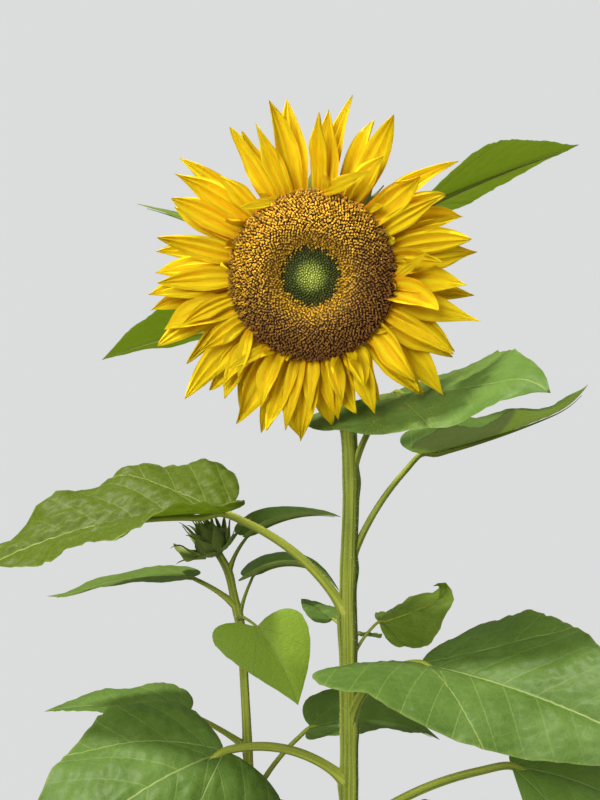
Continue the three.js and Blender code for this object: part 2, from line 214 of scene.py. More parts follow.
def blade_parts(face, normal, half):
    """A thin closed blade from a grid of points. Its two skins meet all round its edge.

    Returns the points, the faces, the grid place of each point, and 1 for the lower skin.
    """
    size = face.shape[0] * face.shape[1]
    upper = np.arange(size).reshape(face.shape[:2])
    lower = upper + size
    half = half * np.ones(face.shape[:2])
    for edge in (np.s_[0, :], np.s_[-1, :], np.s_[:, 0], np.s_[:, -1]):
        lower[edge] = upper[edge]
        half[edge] = 0
    for row in (0, -1):
        if np.ptp(face[row], axis=0).max() < 1e-3:
            upper[row] = lower[row] = upper[row, 0]
    lift = normal * half[..., None]
    points = np.concatenate([(face + lift).reshape(-1, 3), (face - lift).reshape(-1, 3)])
    faces = np.concatenate([triangles(upper), triangles(lower)[:, ::-1]])
    used = np.unique(faces)
    renumber = np.zeros(2 * size, int)
    renumber[used] = np.arange(len(used))
    return points[used], [renumber[faces]], used % size, (used >= size) * 1.0


def grid_normals(face, fallback):
    """Directions square to a grid of points, on its upper side."""
    normal = np.cross(np.gradient(face, axis=0), np.gradient(face, axis=1))
    size = np.linalg.norm(normal, axis=-1, keepdims=True)
    return unit(np.where(size > 1e-4, normal, fallback))


class Path:
    """A smooth path through some points, on which places are found by a share of its length."""

    def __init__(self, points):
        knots = np.array(points, float)
        knots = np.vstack([2 * knots[0] - knots[1], knots, 2 * knots[-1] - knots[-2]])
        share = np.linspace(0, 1, 24, endpoint=False)[:, None]
        spans = []
        for a, b, c, d in zip(knots, knots[1:], knots[2:], knots[3:]):
            before, here, after = (np.linalg.norm(q - p) ** 0.5 for p, q in ((a, b), (b, c), (c, d)))
            leave = ((b - a) / before - (c - a) / (before + here) + (c - b) / here) * here
            arrive = ((c - b) / here - (d - b) / (here + after) + (d - c) / after) * here
            square = 3 * (c - b) - 2 * leave - arrive
            cube = 2 * (b - c) + leave + arrive
            spans.append(b + leave * share + square * share**2 + cube * share**3)
        self.spots = np.vstack([*spans, knots[-2:-1]])
        steps = np.linalg.norm(np.diff(self.spots, axis=0), axis=1)
        self.run = np.concatenate([[0], np.cumsum(steps)])
        self.length = self.run[-1]

    def at(self, share):
        run = np.asarray(share) * self.length
        return np.stack([np.interp(run, self.run, axis) for axis in self.spots.T], axis=-1)

    def share_at_height(self, height):
        above = int(np.argmax(self.spots[:, 2] > height))
        low, high = self.spots[above - 1, 2], self.spots[above, 2]
        return mix(self.run[above - 1], self.run[above], (height - low) / (high - low)) / self.length


def travelling_frames(points, side):
    """Directions along, left and up at each point of a path, starting from a sideways one."""
    along = unit(np.gradient(points, axis=0))
    left = np.empty_like(along)
    for i, ahead in enumerate(along):
        side = unit(side - ahead * np.dot(side, ahead))
        left[i] = side
    return along, left, np.cross(along, left)


def ring_parts(skin, first, last):
    """The points and faces of a skin in rings, closed at a point at each end."""
    rows, sides = skin.shape[:2]
    numbers = np.arange(rows * sides).reshape(rows, sides)
    numbers = np.hstack([numbers, numbers[:, :1]])
    ends = rows * sides + np.arange(2)
    caps = [(numbers[0, j + 1], numbers[0, j], ends[0]) for j in range(sides)]
    caps += [(numbers[-1, j], numbers[-1, j + 1], ends[1]) for j in range(sides)]
    return np.vstack([skin.reshape(-1, 3), first, last]), [quads(numbers)[:, ::-1], np.array(caps)]


def turned_parts(profile, sides):
    """A round body from a profile of radius and height, closed on its axis at both ends."""
    radius, height = np.array(profile, float).T[..., None, None]
    skin = heading(full_turn(sides)) * radius + UPWARD * height
    return ring_parts(skin, UPWARD * height[0, 0], UPWARD * height[-1, 0])


def tube_parts(points, radii, side):
    """A closed tube along points. radii holds a row for each point, with a radius all round.

    Returns its points and faces, and then its skin in rings and the directions out of it.
    """
    _, left, up = travelling_frames(points, side)
    angle = full_turn(radii.shape[1])[:, None]
    out = left[:, None] * np.cos(angle) + up[:, None] * np.sin(angle)
    skin = points[:, None] + out * radii[..., None]
    return *ring_parts(skin, points[0], points[-1]), skin, out


def tube_values(points, sides):
    """The grain coordinates of a tube: round it, and along it in tenths of a metre."""
    run = np.concatenate([[0], np.cumsum(np.linalg.norm(np.diff(points, axis=0), axis=1))]) / 100
    grain = heading(full_turn(sides)) + UPWARD * run[:, None, None]
    return np.vstack([grain.reshape(-1, 3), UPWARD * run[0], UPWARD * run[-1]])


HAIR_RADIUS = 0.1
HAIR_ROOT = 0.2


def add_hairs(shape, skin, out, spacing, length, seed, slot):
    """Sets short stiff hairs on a tube's skin, one for each square of a spacing."""
    rng = np.random.default_rng(seed)
    girth = np.linalg.norm(np.roll(skin, -1, axis=1) - skin, axis=-1).sum(axis=1).mean()
    run = np.linalg.norm(np.diff(skin.mean(axis=1), axis=0), axis=1).sum()
    count = int(girth * run / spacing**2)
    row = rng.integers(0, skin.shape[0] - 1, count)
    column = rng.integers(0, skin.shape[1], count)
    foot = mix(skin[row, column], skin[row + 1, column], rng.random(count)[:, None])
    beside = skin[row, (column + 1) % skin.shape[1]] - skin[row, column]
    foot = foot + beside * rng.random(count)[:, None]
    tip = unit(out[row, column] + rng.normal(0, 0.3, (count, 3)))
    size = length * rng.uniform(0.5, 1.2, count)[:, None]
    across = unit(np.cross(tip, rng.normal(0, 1, (count, 3))))
    other = np.cross(tip, across)
    root = foot - HAIR_ROOT * tip
    ring = [root + HAIR_RADIUS * (across * math.cos(a) + other * math.sin(a)) for a in full_turn(3)]
    points = np.stack([*ring, foot + tip * size], axis=1).reshape(-1, 3)
    base = 4 * np.arange(count)[:, None]
    faces = np.concatenate([base + np.array(f) for f in ((0, 1, 3), (1, 2, 3), (2, 0, 3), (2, 1, 0))])
    shape.add(points, [faces], slot=slot)


# ---- Materials ----


def forward(operation):
    """A Python operator on a wire, done by a Math node."""
    return lambda wire, other: wire.math(operation, other)


def reflected(operation):
    """The same operator where the wire is on its right."""
    return lambda wire, other: wire.make("Math", {"operation": operation}, {0: other, 1: wire})


class Wire:
    """A value, colour or vector in a material's nodes, which Python's operators work on."""

    def __init__(self, tree, socket=None):
        self.tree = tree
        self.socket = socket

    def make(self, kind, settings=None, values=None, out=0):
        """Adds a node of a type: its settings are set first, and then its sockets."""
        node = self.tree.nodes.new("ShaderNode" + kind)
        for name, value in (settings or {}).items():
            if name == "stops":
                ramp = node.color_ramp
                while len(ramp.elements) < len(value):
                    ramp.elements.new(0.5)
                for stop, (position, colour) in zip(ramp.elements, value):
                    stop.position = position
                    stop.color = (*colour, 1)
            else:
                setattr(node, name, value)
        for name, value in (values or {}).items():
            if isinstance(value, Wire):
                self.tree.links.new(value.socket, node.inputs[name])
            elif isinstance(value, tuple) and node.inputs[name].type == "RGBA":
                node.inputs[name].default_value = (*value, 1)
            else:
                node.inputs[name].default_value = value
        return Wire(self.tree, node.outputs[out] if len(node.outputs) else None)

    def math(self, operation, *others):
        """A Math node on this value and then the others."""
        return self.make("Math", {"operation": operation}, dict(enumerate((self, *others))))

    __add__ = __radd__ = forward("ADD")
    __sub__ = forward("SUBTRACT")
    __rsub__ = reflected("SUBTRACT")
    __mul__ = __rmul__ = forward("MULTIPLY")
    __truediv__ = forward("DIVIDE")
    __rtruediv__ = reflected("DIVIDE")
    __pow__ = forward("POWER")
    __rpow__ = reflected("POWER")

    def __abs__(self):
        return self.math("ABSOLUTE")

    def highest(self, other):
        return self.math("MAXIMUM", other)

    def step(self, low, high, start=0.0, end=1.0):
        """Passes evenly from start to end as the value goes from low to high."""
        values = dict(enumerate((self, low, high, start, end)))
        return self.make("MapRange", {"interpolation_type": "SMOOTHSTEP"}, values)

    def read(self, name, out="Fac"):
        """The value that the mesh holds under a name."""
        return self.make("Attribute", {"attribute_name": name}, out=out)

    def parts(self):
        """The three numbers of a vector."""
        split = self.make("SeparateXYZ", values={0: self})
        return [Wire(self.tree, socket) for socket in split.socket.node.outputs]

    def joined(self, x, y, z):
        """A vector of three numbers."""
        return self.make("CombineXYZ", values={0: x, 1: y, 2: z})

    def times(self, vector):
        """This vector, scaled along each axis."""
        return self.make("VectorMath", {"operation": "MULTIPLY"}, {0: self, 1: vector})

    def noise(self, scale, detail=2.0, roughness=0.5):
        values = {"Vector": self, "Scale": scale, "Detail": detail, "Roughness": roughness}
        return self.make("TexNoise", values=values)

    def cells(self, scale):
        """The distance from this place to the nearest edge between uneven cells."""
        settings = {"feature": "DISTANCE_TO_EDGE"}
        return self.make("TexVoronoi", settings, {"Vector": self, "Scale": scale})

    def tint(self, first, second):
        """The first colour where this value is 0 and the second where it is 1."""
        values = {0: self, 6: first, 7: second}
        return self.make("Mix", {"data_type": "RGBA"}, values, out=2)

    def shade(self, colour):
        """A colour made darker or lighter by this value."""
        settings = {"data_type": "RGBA", "blend_type": "MULTIPLY"}
        return self.make("Mix", settings, {0: 1.0, 6: colour, 7: self.joined(self, self, self)}, out=2)

    def ramp(self, stops):
        """The colour between stops, each a place from 0 to 1 and a colour."""
        return self.make("ValToRGB", {"stops": stops}, {0: self})

    def bump(self, distance, strength=1.0):
        return self.make("Bump", values={"Height": self, "Distance": distance, "Strength": strength})


def shared_material(name, paint, *details):
    """The material with a name, painted when a piece first asks for it."""
    material = bpy.data.materials.get(name)
    if material is None:
        material = bpy.data.materials.new(name)
        material.use_nodes = True
        material.node_tree.nodes.clear()
        group = bpy.context.scene.sunflower_colours
        colours = {key: tuple(getattr(group, key)) for key in group.__annotations__}
        paint(Wire(material.node_tree), SimpleNamespace(**colours), *details)
    return material


def finish_material(wire, base, roughness, normal=None, glow=None, share=0.0, shine=0.2, coat=0.0):
    """Ends a material: a skin, through which a share of the light can pass in a glow colour."""
    bumps = {} if normal is None else {"Normal": normal}
    values = {"Base Color": base, "Roughness": roughness, "Specular IOR Level": shine}
    values |= {"Coat Weight": coat, "Coat Roughness": 0.42, **bumps}
    skin = wire.make("BsdfPrincipled", values=values)
    if glow is not None:
        through = wire.make("BsdfTranslucent", values={"Color": glow, **bumps})
        skin = wire.make("MixShader", values={0: share, 1: skin, 2: through})
    wire.make("OutputMaterial", values={"Surface": skin})


def vein_places(x, side, ahead):
    """Where a blade's side veins run, in shares of its length, for numbers or for wires.

    Returns how far out the two main side veins are, and the number of veins passed up to here,
    inside them and outside them.
    """
    lateral = ahead**0.92 * 0.68
    inner = (x - side * 0.75 - side * side * 0.6) / 0.13
    outer = (x - (side - lateral) * 0.25) / 0.11
    return lateral, inner, outer


def vein_lines(flat):
    """The veins of a blade: 1 on the midrib, less on the others, and 0 between them."""
    x, y, _ = flat.parts()
    side = abs(y)
    lateral, inner, outer = vein_places(x, side, x.highest(0.0))
    phase = inner + (outer - inner) * side.math("GREATER_THAN", lateral)
    off = abs((phase + 20.0).math("FRACT") - 0.5) * 0.12
    thin = off.step(0.0, 0.006, 1.0, 0.0) * x.step(0.75, 0.3, 0.35, 1.0)
    main = side.step(0.0, 0.007, 1.0, 0.0)
    branch = abs(side - lateral).step(0.0, 0.0065, 1.0, 0.0) * x.step(-0.01, 0.02)
    return main.highest((branch * 0.85).highest(thin * 0.4))


def paint_leaf(wire, colours):
    """A leaf's blade: green with pale veins above, paler below, and gold where pollen lies. The lower face
    is lightened further as painted light, each leaf's shade adds painted shade or painted light, and
    yellow-green tints are partly a painted glow of light through the blade.
    """
    flat = wire.read("flat", "Vector")
    tone = wire.read("tone")
    under = wire.read("under")
    veins = vein_lines(flat)
    net = flat.cells(33.0).step(0.0, 0.16, 1.0, 0.0)
    fine = flat.cells(80.0).step(0.0, 0.15, 1.0, 0.0)
    cloud = flat.noise(5.0, 3.0)
    upper = (cloud * 1.5 + tone * 0.5 - 0.5).tint(colours.leaf_dark, colours.leaf_light)
    # Partly painted light: leaves with a tone over 1 turn yellow-green, partly their own young green and
    # partly a painted glow of light through the blade.
    upper = (tone - 1.0).tint(upper, colours.leaf_fresh)
    # The lower face's paler green is lightened further as painted light, for light thrown up under the
    # leaves.
    lower = (tone - 1.0).tint(colours.leaf_under_and_painted_light, colours.leaf_fresh)
    # Painted shade: each leaf's shade value darkens it, and below 0 lightens it as painted light.
    base = (1.0 - wire.read("shade")).shade(under.tint(upper, lower))
    rim = wire.read("across").step(0.95, 1.0)
    for pale in (veins * 0.62, net * 0.08 + fine * 0.04, rim * 0.3):
        base = pale.tint(base, colours.leaf_vein)
    grains = flat.noise(120.0, 3.0).step(0.56, 0.66) * flat.noise(7.0, 2.0).step(0.38, 0.55)
    grains = grains * wire.read("along").step(0.75, 0.35)
    base = (grains * wire.read("dust") * (0.6 - under * 0.6)).tint(base, colours.pollen_and_painted_light)
    height = (veins * (under * 2.0 - 1.0)) * 0.45 - net * 0.11 - fine * 0.03
    height = height + flat.noise(18.0, 1.0) * 0.5
    finish_material(
        wire, base, cloud * 0.2 + under * 0.2 + 0.4, height.bump(0.9 * MM), glow=colours.leaf_glow,
        share=0.46 - veins * 0.2, shine=0.1, coat=0.16 - under * 0.14,
    )


def paint_stem(wire, colours, pale):
    """The ribbed green skin of a stem or stalk. pale lightens it towards yellow."""
    grain = wire.read("grain", "Vector")
    streak = grain.times((3.0, 3.0, 0.5)).noise(2.2, 4.0, 0.6)
    patch = grain.times((0.6, 0.6, 1.6)).noise(1.6, 2.0)
    stripe = grain.times((1.0, 1.0, 0.12)).noise(1.3, 1.0)
    light = streak * 1.4 + patch * 0.5 + stripe * 2.0 - 1.45 + pale
    base = light.tint(colours.stem_dark, colours.stem_light)
    speck = grain.times((5.0, 5.0, 14.0)).noise(6.0, 2.0).step(0.62, 0.72)
    base = (speck * 0.35).tint(base, colours.hair)
    height = streak * 0.8 + grain.times((4.0, 4.0, 30.0)).noise(3.0) * 0.3
    finish_material(
        wire, base, streak * 0.2 + 0.42, height.bump(0.8 * MM), glow=colours.leaf_glow,
        share=0.12, shine=0.15,
    )


def paint_hairs(wire, colours):
    """The pale hairs of stems and stalks, which light comes through."""
    finish_material(wire, colours.hair, 0.5, glow=colours.hair, share=0.4)


RAY_TIP = (0.3, 0.17, 0.02)


def paint_rays(wire, colours):
    """A ray floret: streaked yellow, and brown at its tip. It is amber at its foot and in its furrows:
    partly its own amber, and partly painted shade near the disc and in the creases.
    """
    along, across, tone = (wire.read(name) for name in ("along", "across", "tone"))
    grain = wire.joined(across * 3.2, along * 0.9, tone * 20.0)
    streak = grain.noise(2.6, 4.0, 0.6)
    fine = grain.times((4.0, 1.0, 1.0)).noise(4.0, 3.0)
    # Painted shade: amber deepens in the pleats' furrows, and at the foot near the disc.
    furrow = wire.read("furrow").step(0.35, 1.0) * along.step(0.95, 0.5, 0.3, 0.75)
    amber_and_shade = along.step(0.0, 0.35, 0.7, 0.0) + streak * 0.6 + fine * 0.45 + tone * 0.25
    amber_and_shade = amber_and_shade + furrow * 0.8 - 0.82
    base = amber_and_shade.tint(colours.ray, colours.ray_amber_and_shade)
    base = (along.step(0.95, 1.0) * 0.3).tint(base, RAY_TIP)
    height = streak * 1.2 + fine * 1.1
    finish_material(
        wire, base, streak * 0.2 + 0.38, height.bump(0.7 * MM), glow=colours.ray_glow,
        share=0.38 - streak * 0.08, shine=0.16,
    )


# The colours of the florets' feet and tips from the disc's middle, at 0, to its rim, at 1.
# From 0.2 to 0.345 they are near black: dark green florets, darkened further as painted shade in the pit.
FLORET_FEET = [
    (0.0, (0.26, 0.33, 0.04)), (0.2, (0.03, 0.045, 0.007)), (0.345, (0.02, 0.025, 0.005)),
    (0.375, (0.26, 0.14, 0.010)), (0.6, (0.08, 0.032, 0.010)), (1.0, (0.04, 0.016, 0.010)),
]
FLORET_TIPS = [
    (0.0, (0.85, 0.85, 0.22)), (0.13, (0.50, 0.55, 0.10)), (0.22, (0.09, 0.11, 0.02)),
    (0.345, (0.07, 0.065, 0.012)), (0.375, (0.52, 0.29, 0.02)), (0.56, (0.42, 0.22, 0.03)),
    (0.8, (0.30, 0.14, 0.025)), (1.0, (0.19, 0.08, 0.022)),
]
# The gold that the florets' feet take as painted light, where light falls on the disc.
PAINTED_LIGHT_FOOT = (0.62, 0.32, 0.02)


def paint_florets(wire, colours):
    """The disc's florets: green where they are closed, gold and brown where they are open. Gold is added as
    painted light where light falls on the disc, and the dark ring round the middle is partly painted shade.
    """
    tone = wire.read("tone")
    gilt = wire.read("gilt")
    where = wire.read("ripe") + (tone - 0.5) * 0.06
    # Painted light: tips and feet turn gold where light falls on the disc.
    top = gilt.tint(where.ramp(FLORET_TIPS), colours.pollen_and_painted_light)
    foot = (gilt * 0.85).tint(where.ramp(FLORET_FEET), PAINTED_LIGHT_FOOT)
    base = wire.read("tip").step(0.2, 0.85).tint(foot, top)
    finish_material(wire, (tone * 0.7 + 0.65).shade(base), 0.62, shine=0.12)


BRACT_TIP = (0.035, 0.028, 0.014)


def paint_bracts(wire, colours):
    """A bract: streaked green with a pale rib and rim, and a dark tip."""
    along, across, tone = (wire.read(name) for name in ("along", "across", "tone"))
    streak = wire.joined(across * 2.5, along * 1.5, tone * 20.0).noise(3.0, 4.0, 0.6)
    base = (streak * 1.3 + tone * 0.4 - 0.45).tint(colours.bract_dark, colours.bract_light)
    rib = abs(across).step(0.0, 0.12, 0.3, 0.0)
    rim = abs(across).step(0.85, 1.0, 0.0, 0.25)
    base = (rib + rim).tint(base, colours.leaf_vein)
    base = (along.step(0.62, 1.0) * 0.75).tint(base, BRACT_TIP)
    finish_material(wire, base, 0.6, (streak + rib).bump(0.6 * MM), glow=colours.leaf_glow, share=0.06)


def paint_floor(wire, _, colour):
    """The pale speckled floor, in two shades of the backdrop's colour."""
    speckle = wire.make("TexCoord", out="Object").noise(40.0, 4.0)
    dark, light = (tuple(share * part for part in colour) for share in (0.38, 0.43))
    finish_material(wire, speckle.tint(dark, light), 0.8, speckle.bump(MM))


# ---- Stems ----

HEAD_CENTRE = np.array([-31.0, -80.0, 1106.0])
FACING = unit(np.array([-0.1, -0.985, -0.139]))
RECEPTACLE_DEPTH = 25
NECK_END = HEAD_CENTRE - FACING * RECEPTACLE_DEPTH
MAIN_PATH = Path(
    [
        (0, 0, 0), (0, 0, 25), (0, 0, 50), (4, 2, 220), (1, -2, 430), (-3, 1, 620), (-2, 2, 760),
        (-3, 1, 880), (-1, 0, 960), (-5, 4, 1030), (-12, 6, 1075), (-19, -6, 1106),
        tuple(NECK_END - FACING * 22), tuple(NECK_END),
    ]
)
SIDE_PATH = Path(
    [
        (4, 3, 255), (-20, 12, 285), (-52, 30, 370), (-72, 44, 520), (-78, 50, 690), (-83, 52, 790),
        (-86, 52, 838), (-92, 52, 868), (-97, 52, 887), (-104, 51, 900),
    ]
)
FOOT_RADIUS = 9.95
NECK_RADIUS = 0.53 * FOOT_RADIUS
SIDE_RADIUS = 0.55 * FOOT_RADIUS


def main_radius(share):
    flare = 0.75 * np.exp(-share / 0.018)
    neck = 0.9 * np.exp((share - 1) / 0.022)
    return mix(FOOT_RADIUS, NECK_RADIUS, share**0.85) * (1 + flare + neck)


def side_radius(share):
    return mix(SIDE_RADIUS, 0.55 * SIDE_RADIUS, share) * (1 + 0.5 * np.exp(-share / 0.03))


STEMS = {
    "main": {"path": MAIN_PATH, "radius": main_radius, "sides": 48, "ribs": 11},
    "side": {"path": SIDE_PATH, "radius": side_radius, "sides": 32, "ribs": 9},
}
RING_SPACING = 3.5
HAIR_SPACING = 3.1
BARE_RINGS = 8  # rings at a stem's foot that have no hairs
SWELLING = 9.0  # how far from a leaf's foot a stem swells


def stem_shape(stem, leaves, hair_length, seed):
    """A ribbed stem that swells where each leaf leaves it."""
    path, sides, ribs = (STEMS[stem][key] for key in ("path", "sides", "ribs"))
    share = np.linspace(0, 1, int(path.length / RING_SPACING) + 1)
    spine = path.at(share)
    angle = full_turn(sides)
    run = share[:, None] * path.length
    wander = 0.5 * ripples(run, 0 * run, 210, seed)
    ridge = 0.034 * np.cos(ribs * (angle + wander)) + 0.02 * np.cos((ribs - 3) * angle + 2.1 * wander + 1)
    uneven = ridge * smooth(run, 2, 60) + 0.015 * ripples(run, angle * 18, 34, seed + 1)
    radii = STEMS[stem]["radius"](share)[:, None] * (1 + uneven)
    _, left, up = travelling_frames(spine, SIDEWAYS)
    for spec in leaves:
        out = heading(math.radians(spec["bearing"]))
        facing = (left @ out)[:, None] * np.cos(angle) + (up @ out)[:, None] * np.sin(angle)
        away = (spine[:, 2:3] - spec["at"]) / SWELLING
        radii = radii * (1 + np.exp(-(away**2)) * (0.05 + 0.2 * np.clip(facing, 0, 1) ** 2))
    points, faces, skin, out = tube_parts(spine, radii, SIDEWAYS)
    points[:, 2] = np.maximum(points[:, 2], 0)
    shape = Shape()
    shape.add(points, faces, grain=tube_values(spine, sides))
    add_hairs(shape, skin[BARE_RINGS:], out[BARE_RINGS:], HAIR_SPACING, hair_length, seed, 1)
    return shape


# ---- Leaves ----

LEAF = {
    "swing": 0, "bend": 0, "roll": 0, "twist": 0, "quilt": 0.9, "ruffle": 2.5, "fresh": 0.5, "shade": 0,
    "dust": 0, "droop": 0, "curl": 0, "left": (16, -24, 0.3), "right": (16, -24, 0.3),
}


def leaf(at, bearing, stalk, blade, *halves, **more):
    """How one leaf grows. Lengths are in millimetres, and angles in degrees.

    at is how high on the stem it starts, and bearing the way it starts. stalk holds the stalk's
    length and its slope at both ends, and blade the blade's length, width and slope at both ends.
    halves are the blade's left and right half, each with its slope beside the midrib, how far it
    arches out from there, and how far its lobe reaches back as a share of the length.

    swing turns the stalk on its way out, and bend the midrib. roll tips the blade about its
    midrib, and twist does so further towards the tip. quilt is how far it swells between its
    veins, and ruffle how far its margin waves. fresh makes it lighter up to 1,
    and yellower from there to 2: partly a young leaf's own green, and partly a painted glow of
    light through the blade. shade is painted shade that darkens it, or painted light that
    lightens it below 0. dust is the pollen that lies on it, droop how far its left half falls
    towards the tip, and curl how far its tip bends up.
    """
    spec = {**LEAF, "at": at, "bearing": bearing, "stalk": stalk, "blade": blade}
    return {**spec, **dict(zip(("left", "right"), halves)), **more}


# A leaf's shade is painted shade, or painted light where it is below 0.
MAIN_LEAVES = [
    leaf(1045, 20, (143, 84, 44), (150, 104, 26, 18), (-14, 0, -0.12), (28, -8, -0.12), bend=-12,
         ruffle=2, fresh=1.9),
    leaf(1062, 165, (62, 70, 44), (148, 60, 38, 14), roll=-14, quilt=0.3, ruffle=1.5, fresh=1.5),
    leaf(1008, 160, (112, 70, 14), (134, 84, 0, -22), (34, -8, 0.1), (-7, 0, 0.1), quilt=0.4,
         fresh=1.9),
    leaf(960, -16, (80, 80, 40), (136, 136, 0, 12), (20, -16, 0.1), (-21, -6, 0.62), swing=-31,
         twist=34, quilt=1.3, dust=1, shade=-0.3, curl=-45),
    leaf(895, 5, (104, 72, 42), (142, 95, 12, 25), (24, -4, 0.2), (24, -4, 0.2), ruffle=3.5,
         shade=-0.2, curl=26),
    leaf(860, 187, (126, 61, 18), (196, 140, 4, -32), (24, -10, 0.2), (38, -20, 0.2), twist=-10,
         quilt=2.6, ruffle=6, fresh=1.9, droop=40, shade=0.5),
    leaf(848, 125, (20, 24, 14), (44, 40, 16, 8), ruffle=1.5),
    leaf(838, 60, (20, 30, 0), (40, 26, -10, -20), ruffle=1.5),
    leaf(810, 15, (52, 88, 35), (70, 72, 12, 26), (5, -10, 0), (-40, 10, 0.1), quilt=2.2, ruffle=5,
         fresh=1.5, shade=0.25, curl=165),
    leaf(775, -55, (96, 75, 8), (190, 155, -2, -22), (34, -14, 0.1), (-6, -30, 0.5), swing=20,
         roll=-16, twist=60, quilt=1.5, ruffle=3.5),
    leaf(734, 192, (110, 45, -5), (190, 160, -5, -50), (-28, -96, 0.4), (34, -20, 0.1), swing=22,
         quilt=1.6, ruffle=5),
    leaf(695, -20, (140, 44, 13), (185, 150, 0, -55), (20, -20, 0.1), (-30, -20, -0.1), shade=-0.4),
]
SIDE_LEAVES = [
    leaf(858, 185, (44, 43, 22), (114, 52, 8, -30), (6, 0, 0.2), (10, 0, 0.2), quilt=0.6, fresh=1.3,
         droop=20, curl=28),
    leaf(884, 17, (34, 76, 46), (82, 50, 32, -14), (28, -10, 0.2), (22, 0, 0.2), quilt=0.3,
         ruffle=1.5, shade=-0.4),
    leaf(848, 0, (37, 80, 62), (78, 58, 35, -58), (26, -20, 0.3), (20, -10, 0.3), quilt=0.3,
         ruffle=1.5, shade=-0.3),
    leaf(846, -100, (38, 40, -35), (67, 69, -45, -70), (5, -10, 0.1), (5, -10, 0.5), swing=73,
         roll=48, quilt=0.15, ruffle=1.2, fresh=1.6, shade=-0.4),
    leaf(745, 178, (56, 37, 22), (116, 80, 12, -12), (0, 0, 0.1), (18, -10, 0.1), ruffle=3),
    leaf(700, 10, (78, 66, 35), (112, 80, 15, -32), (30, -10, 0.1), (0, 0, 0.2)),
]


def lower_leaf(i, count, top, step, bearing, length):
    """One of the leaves that follow each other down a stem by the golden angle."""
    size = 1 - 0.42 * (i / count) ** 2
    droop = mix(0, 14, i / count)
    stalk = (0.68 * length * size, about(46 - droop, 4, i, 3), about(10 - droop, 5, i, 4))
    blade = (length * size, 0.82 * length * size, about(-5 - droop, 6, i, 5), -48 - droop)
    return leaf(
        top - step * i, about(bearing + GOLDEN_ANGLE * i, 8, i, 1), stalk, blade,
        swing=about(0, 10, i, 2), roll=about(0, 10, i, 6), twist=about(0, 14, i, 7),
        quilt=about(0.9, 0.3, i, 8), ruffle=about(4, 1, i, 9),
    )


MAIN_LEAVES += [lower_leaf(i, 9, 650, 48, 250, 196) for i in range(9)]
SIDE_LEAVES += [lower_leaf(i, 2, 625, 90, 75, 128) for i in range(2)]
BLADE_ROW = 2.7
BLADE_COLUMN = 5.6
TEETH = 15
STALK_STEPS = 6
MIDRIB_STEPS = 36
RIB_END = 0.93  # the share of a midrib at which its thick rib ends
STALK_SIDES = 12
STALK_RING = 3.0
STALK_HAIR_SPACING = 3.4


def course(start, bearing, slope, length, steps, curl=0):
    """A path whose bearing and slope change evenly, in degrees, and which curls up at its end."""

    def way(share):
        tilt = mix(*slope, share) + curl * smooth(share, 0.7, 1.0)
        return np.radians(mix(*bearing, share)), np.radians(tilt)

    return walk(start, way, length, steps)


def midrib_frames(rib, spec, distance):
    """The place and the directions left and up at distances along a midrib."""
    points, along, turn = rib
    share = np.clip(distance / spec["blade"][0], 0, 1)
    spot = share * (len(points) - 1)
    index = np.minimum(spot.astype(int), len(points) - 2)
    part = (spot - index)[..., None]
    ahead = unit(mix(along[index], along[index + 1], part))
    at = mix(points[index], points[index + 1], part) + ahead * np.minimum(distance, 0)[..., None]
    level = leftward(mix(turn[index], turn[index + 1], part[..., 0]))
    left = rolled(level, ahead, spec["roll"] + spec["twist"] * share)
    return at, left, np.cross(ahead, left)


def vein_swelling(x, y):
    """How far the skin swells between the veins, from 0 on a vein to 1."""
    side = np.abs(y)
    lateral, inner, outer = vein_places(x, side, np.maximum(x, 0))
    phase = np.where(side < lateral, inner, outer)
    between = np.abs(np.cos(math.pi * phase)) ** 0.7
    return between * smooth(side, 0, 0.05) * smooth(np.abs(side - lateral), 0, 0.03)


def blade_lift(spec, x, y, side, row, seed):
    """How far a blade's skin lies above its plain form: it is quilted, creased and ruffled."""
    length = spec["blade"][0]
    ahead, across = x * length, y * length
    swell = vein_swelling(x, y) * (0.75 + 0.5 * ripples(ahead, across, 11, seed))
    quilt = spec["quilt"] * (swell - 0.35) * smooth(row, 0.0, 0.08) * smooth(1 - row, 0.0, 0.1)
    crease = 0.7 * np.exp(-((across / 2.4) ** 2)) * smooth(1 - row, 0.0, 0.4)
    wave = spec["ruffle"] * ripples(ahead, across * 0.4, 46, seed + 3)
    ruffle = wave * side**2.2 * smooth(row, 0.04, 0.25) * smooth(1 - row, 0.0, 0.15)
    fine = 0.25 * spec["quilt"] * ripples(ahead, across, 7, seed + 5)
    return (quilt - crease + ruffle + fine) * np.sin(math.pi * row) ** 0.15


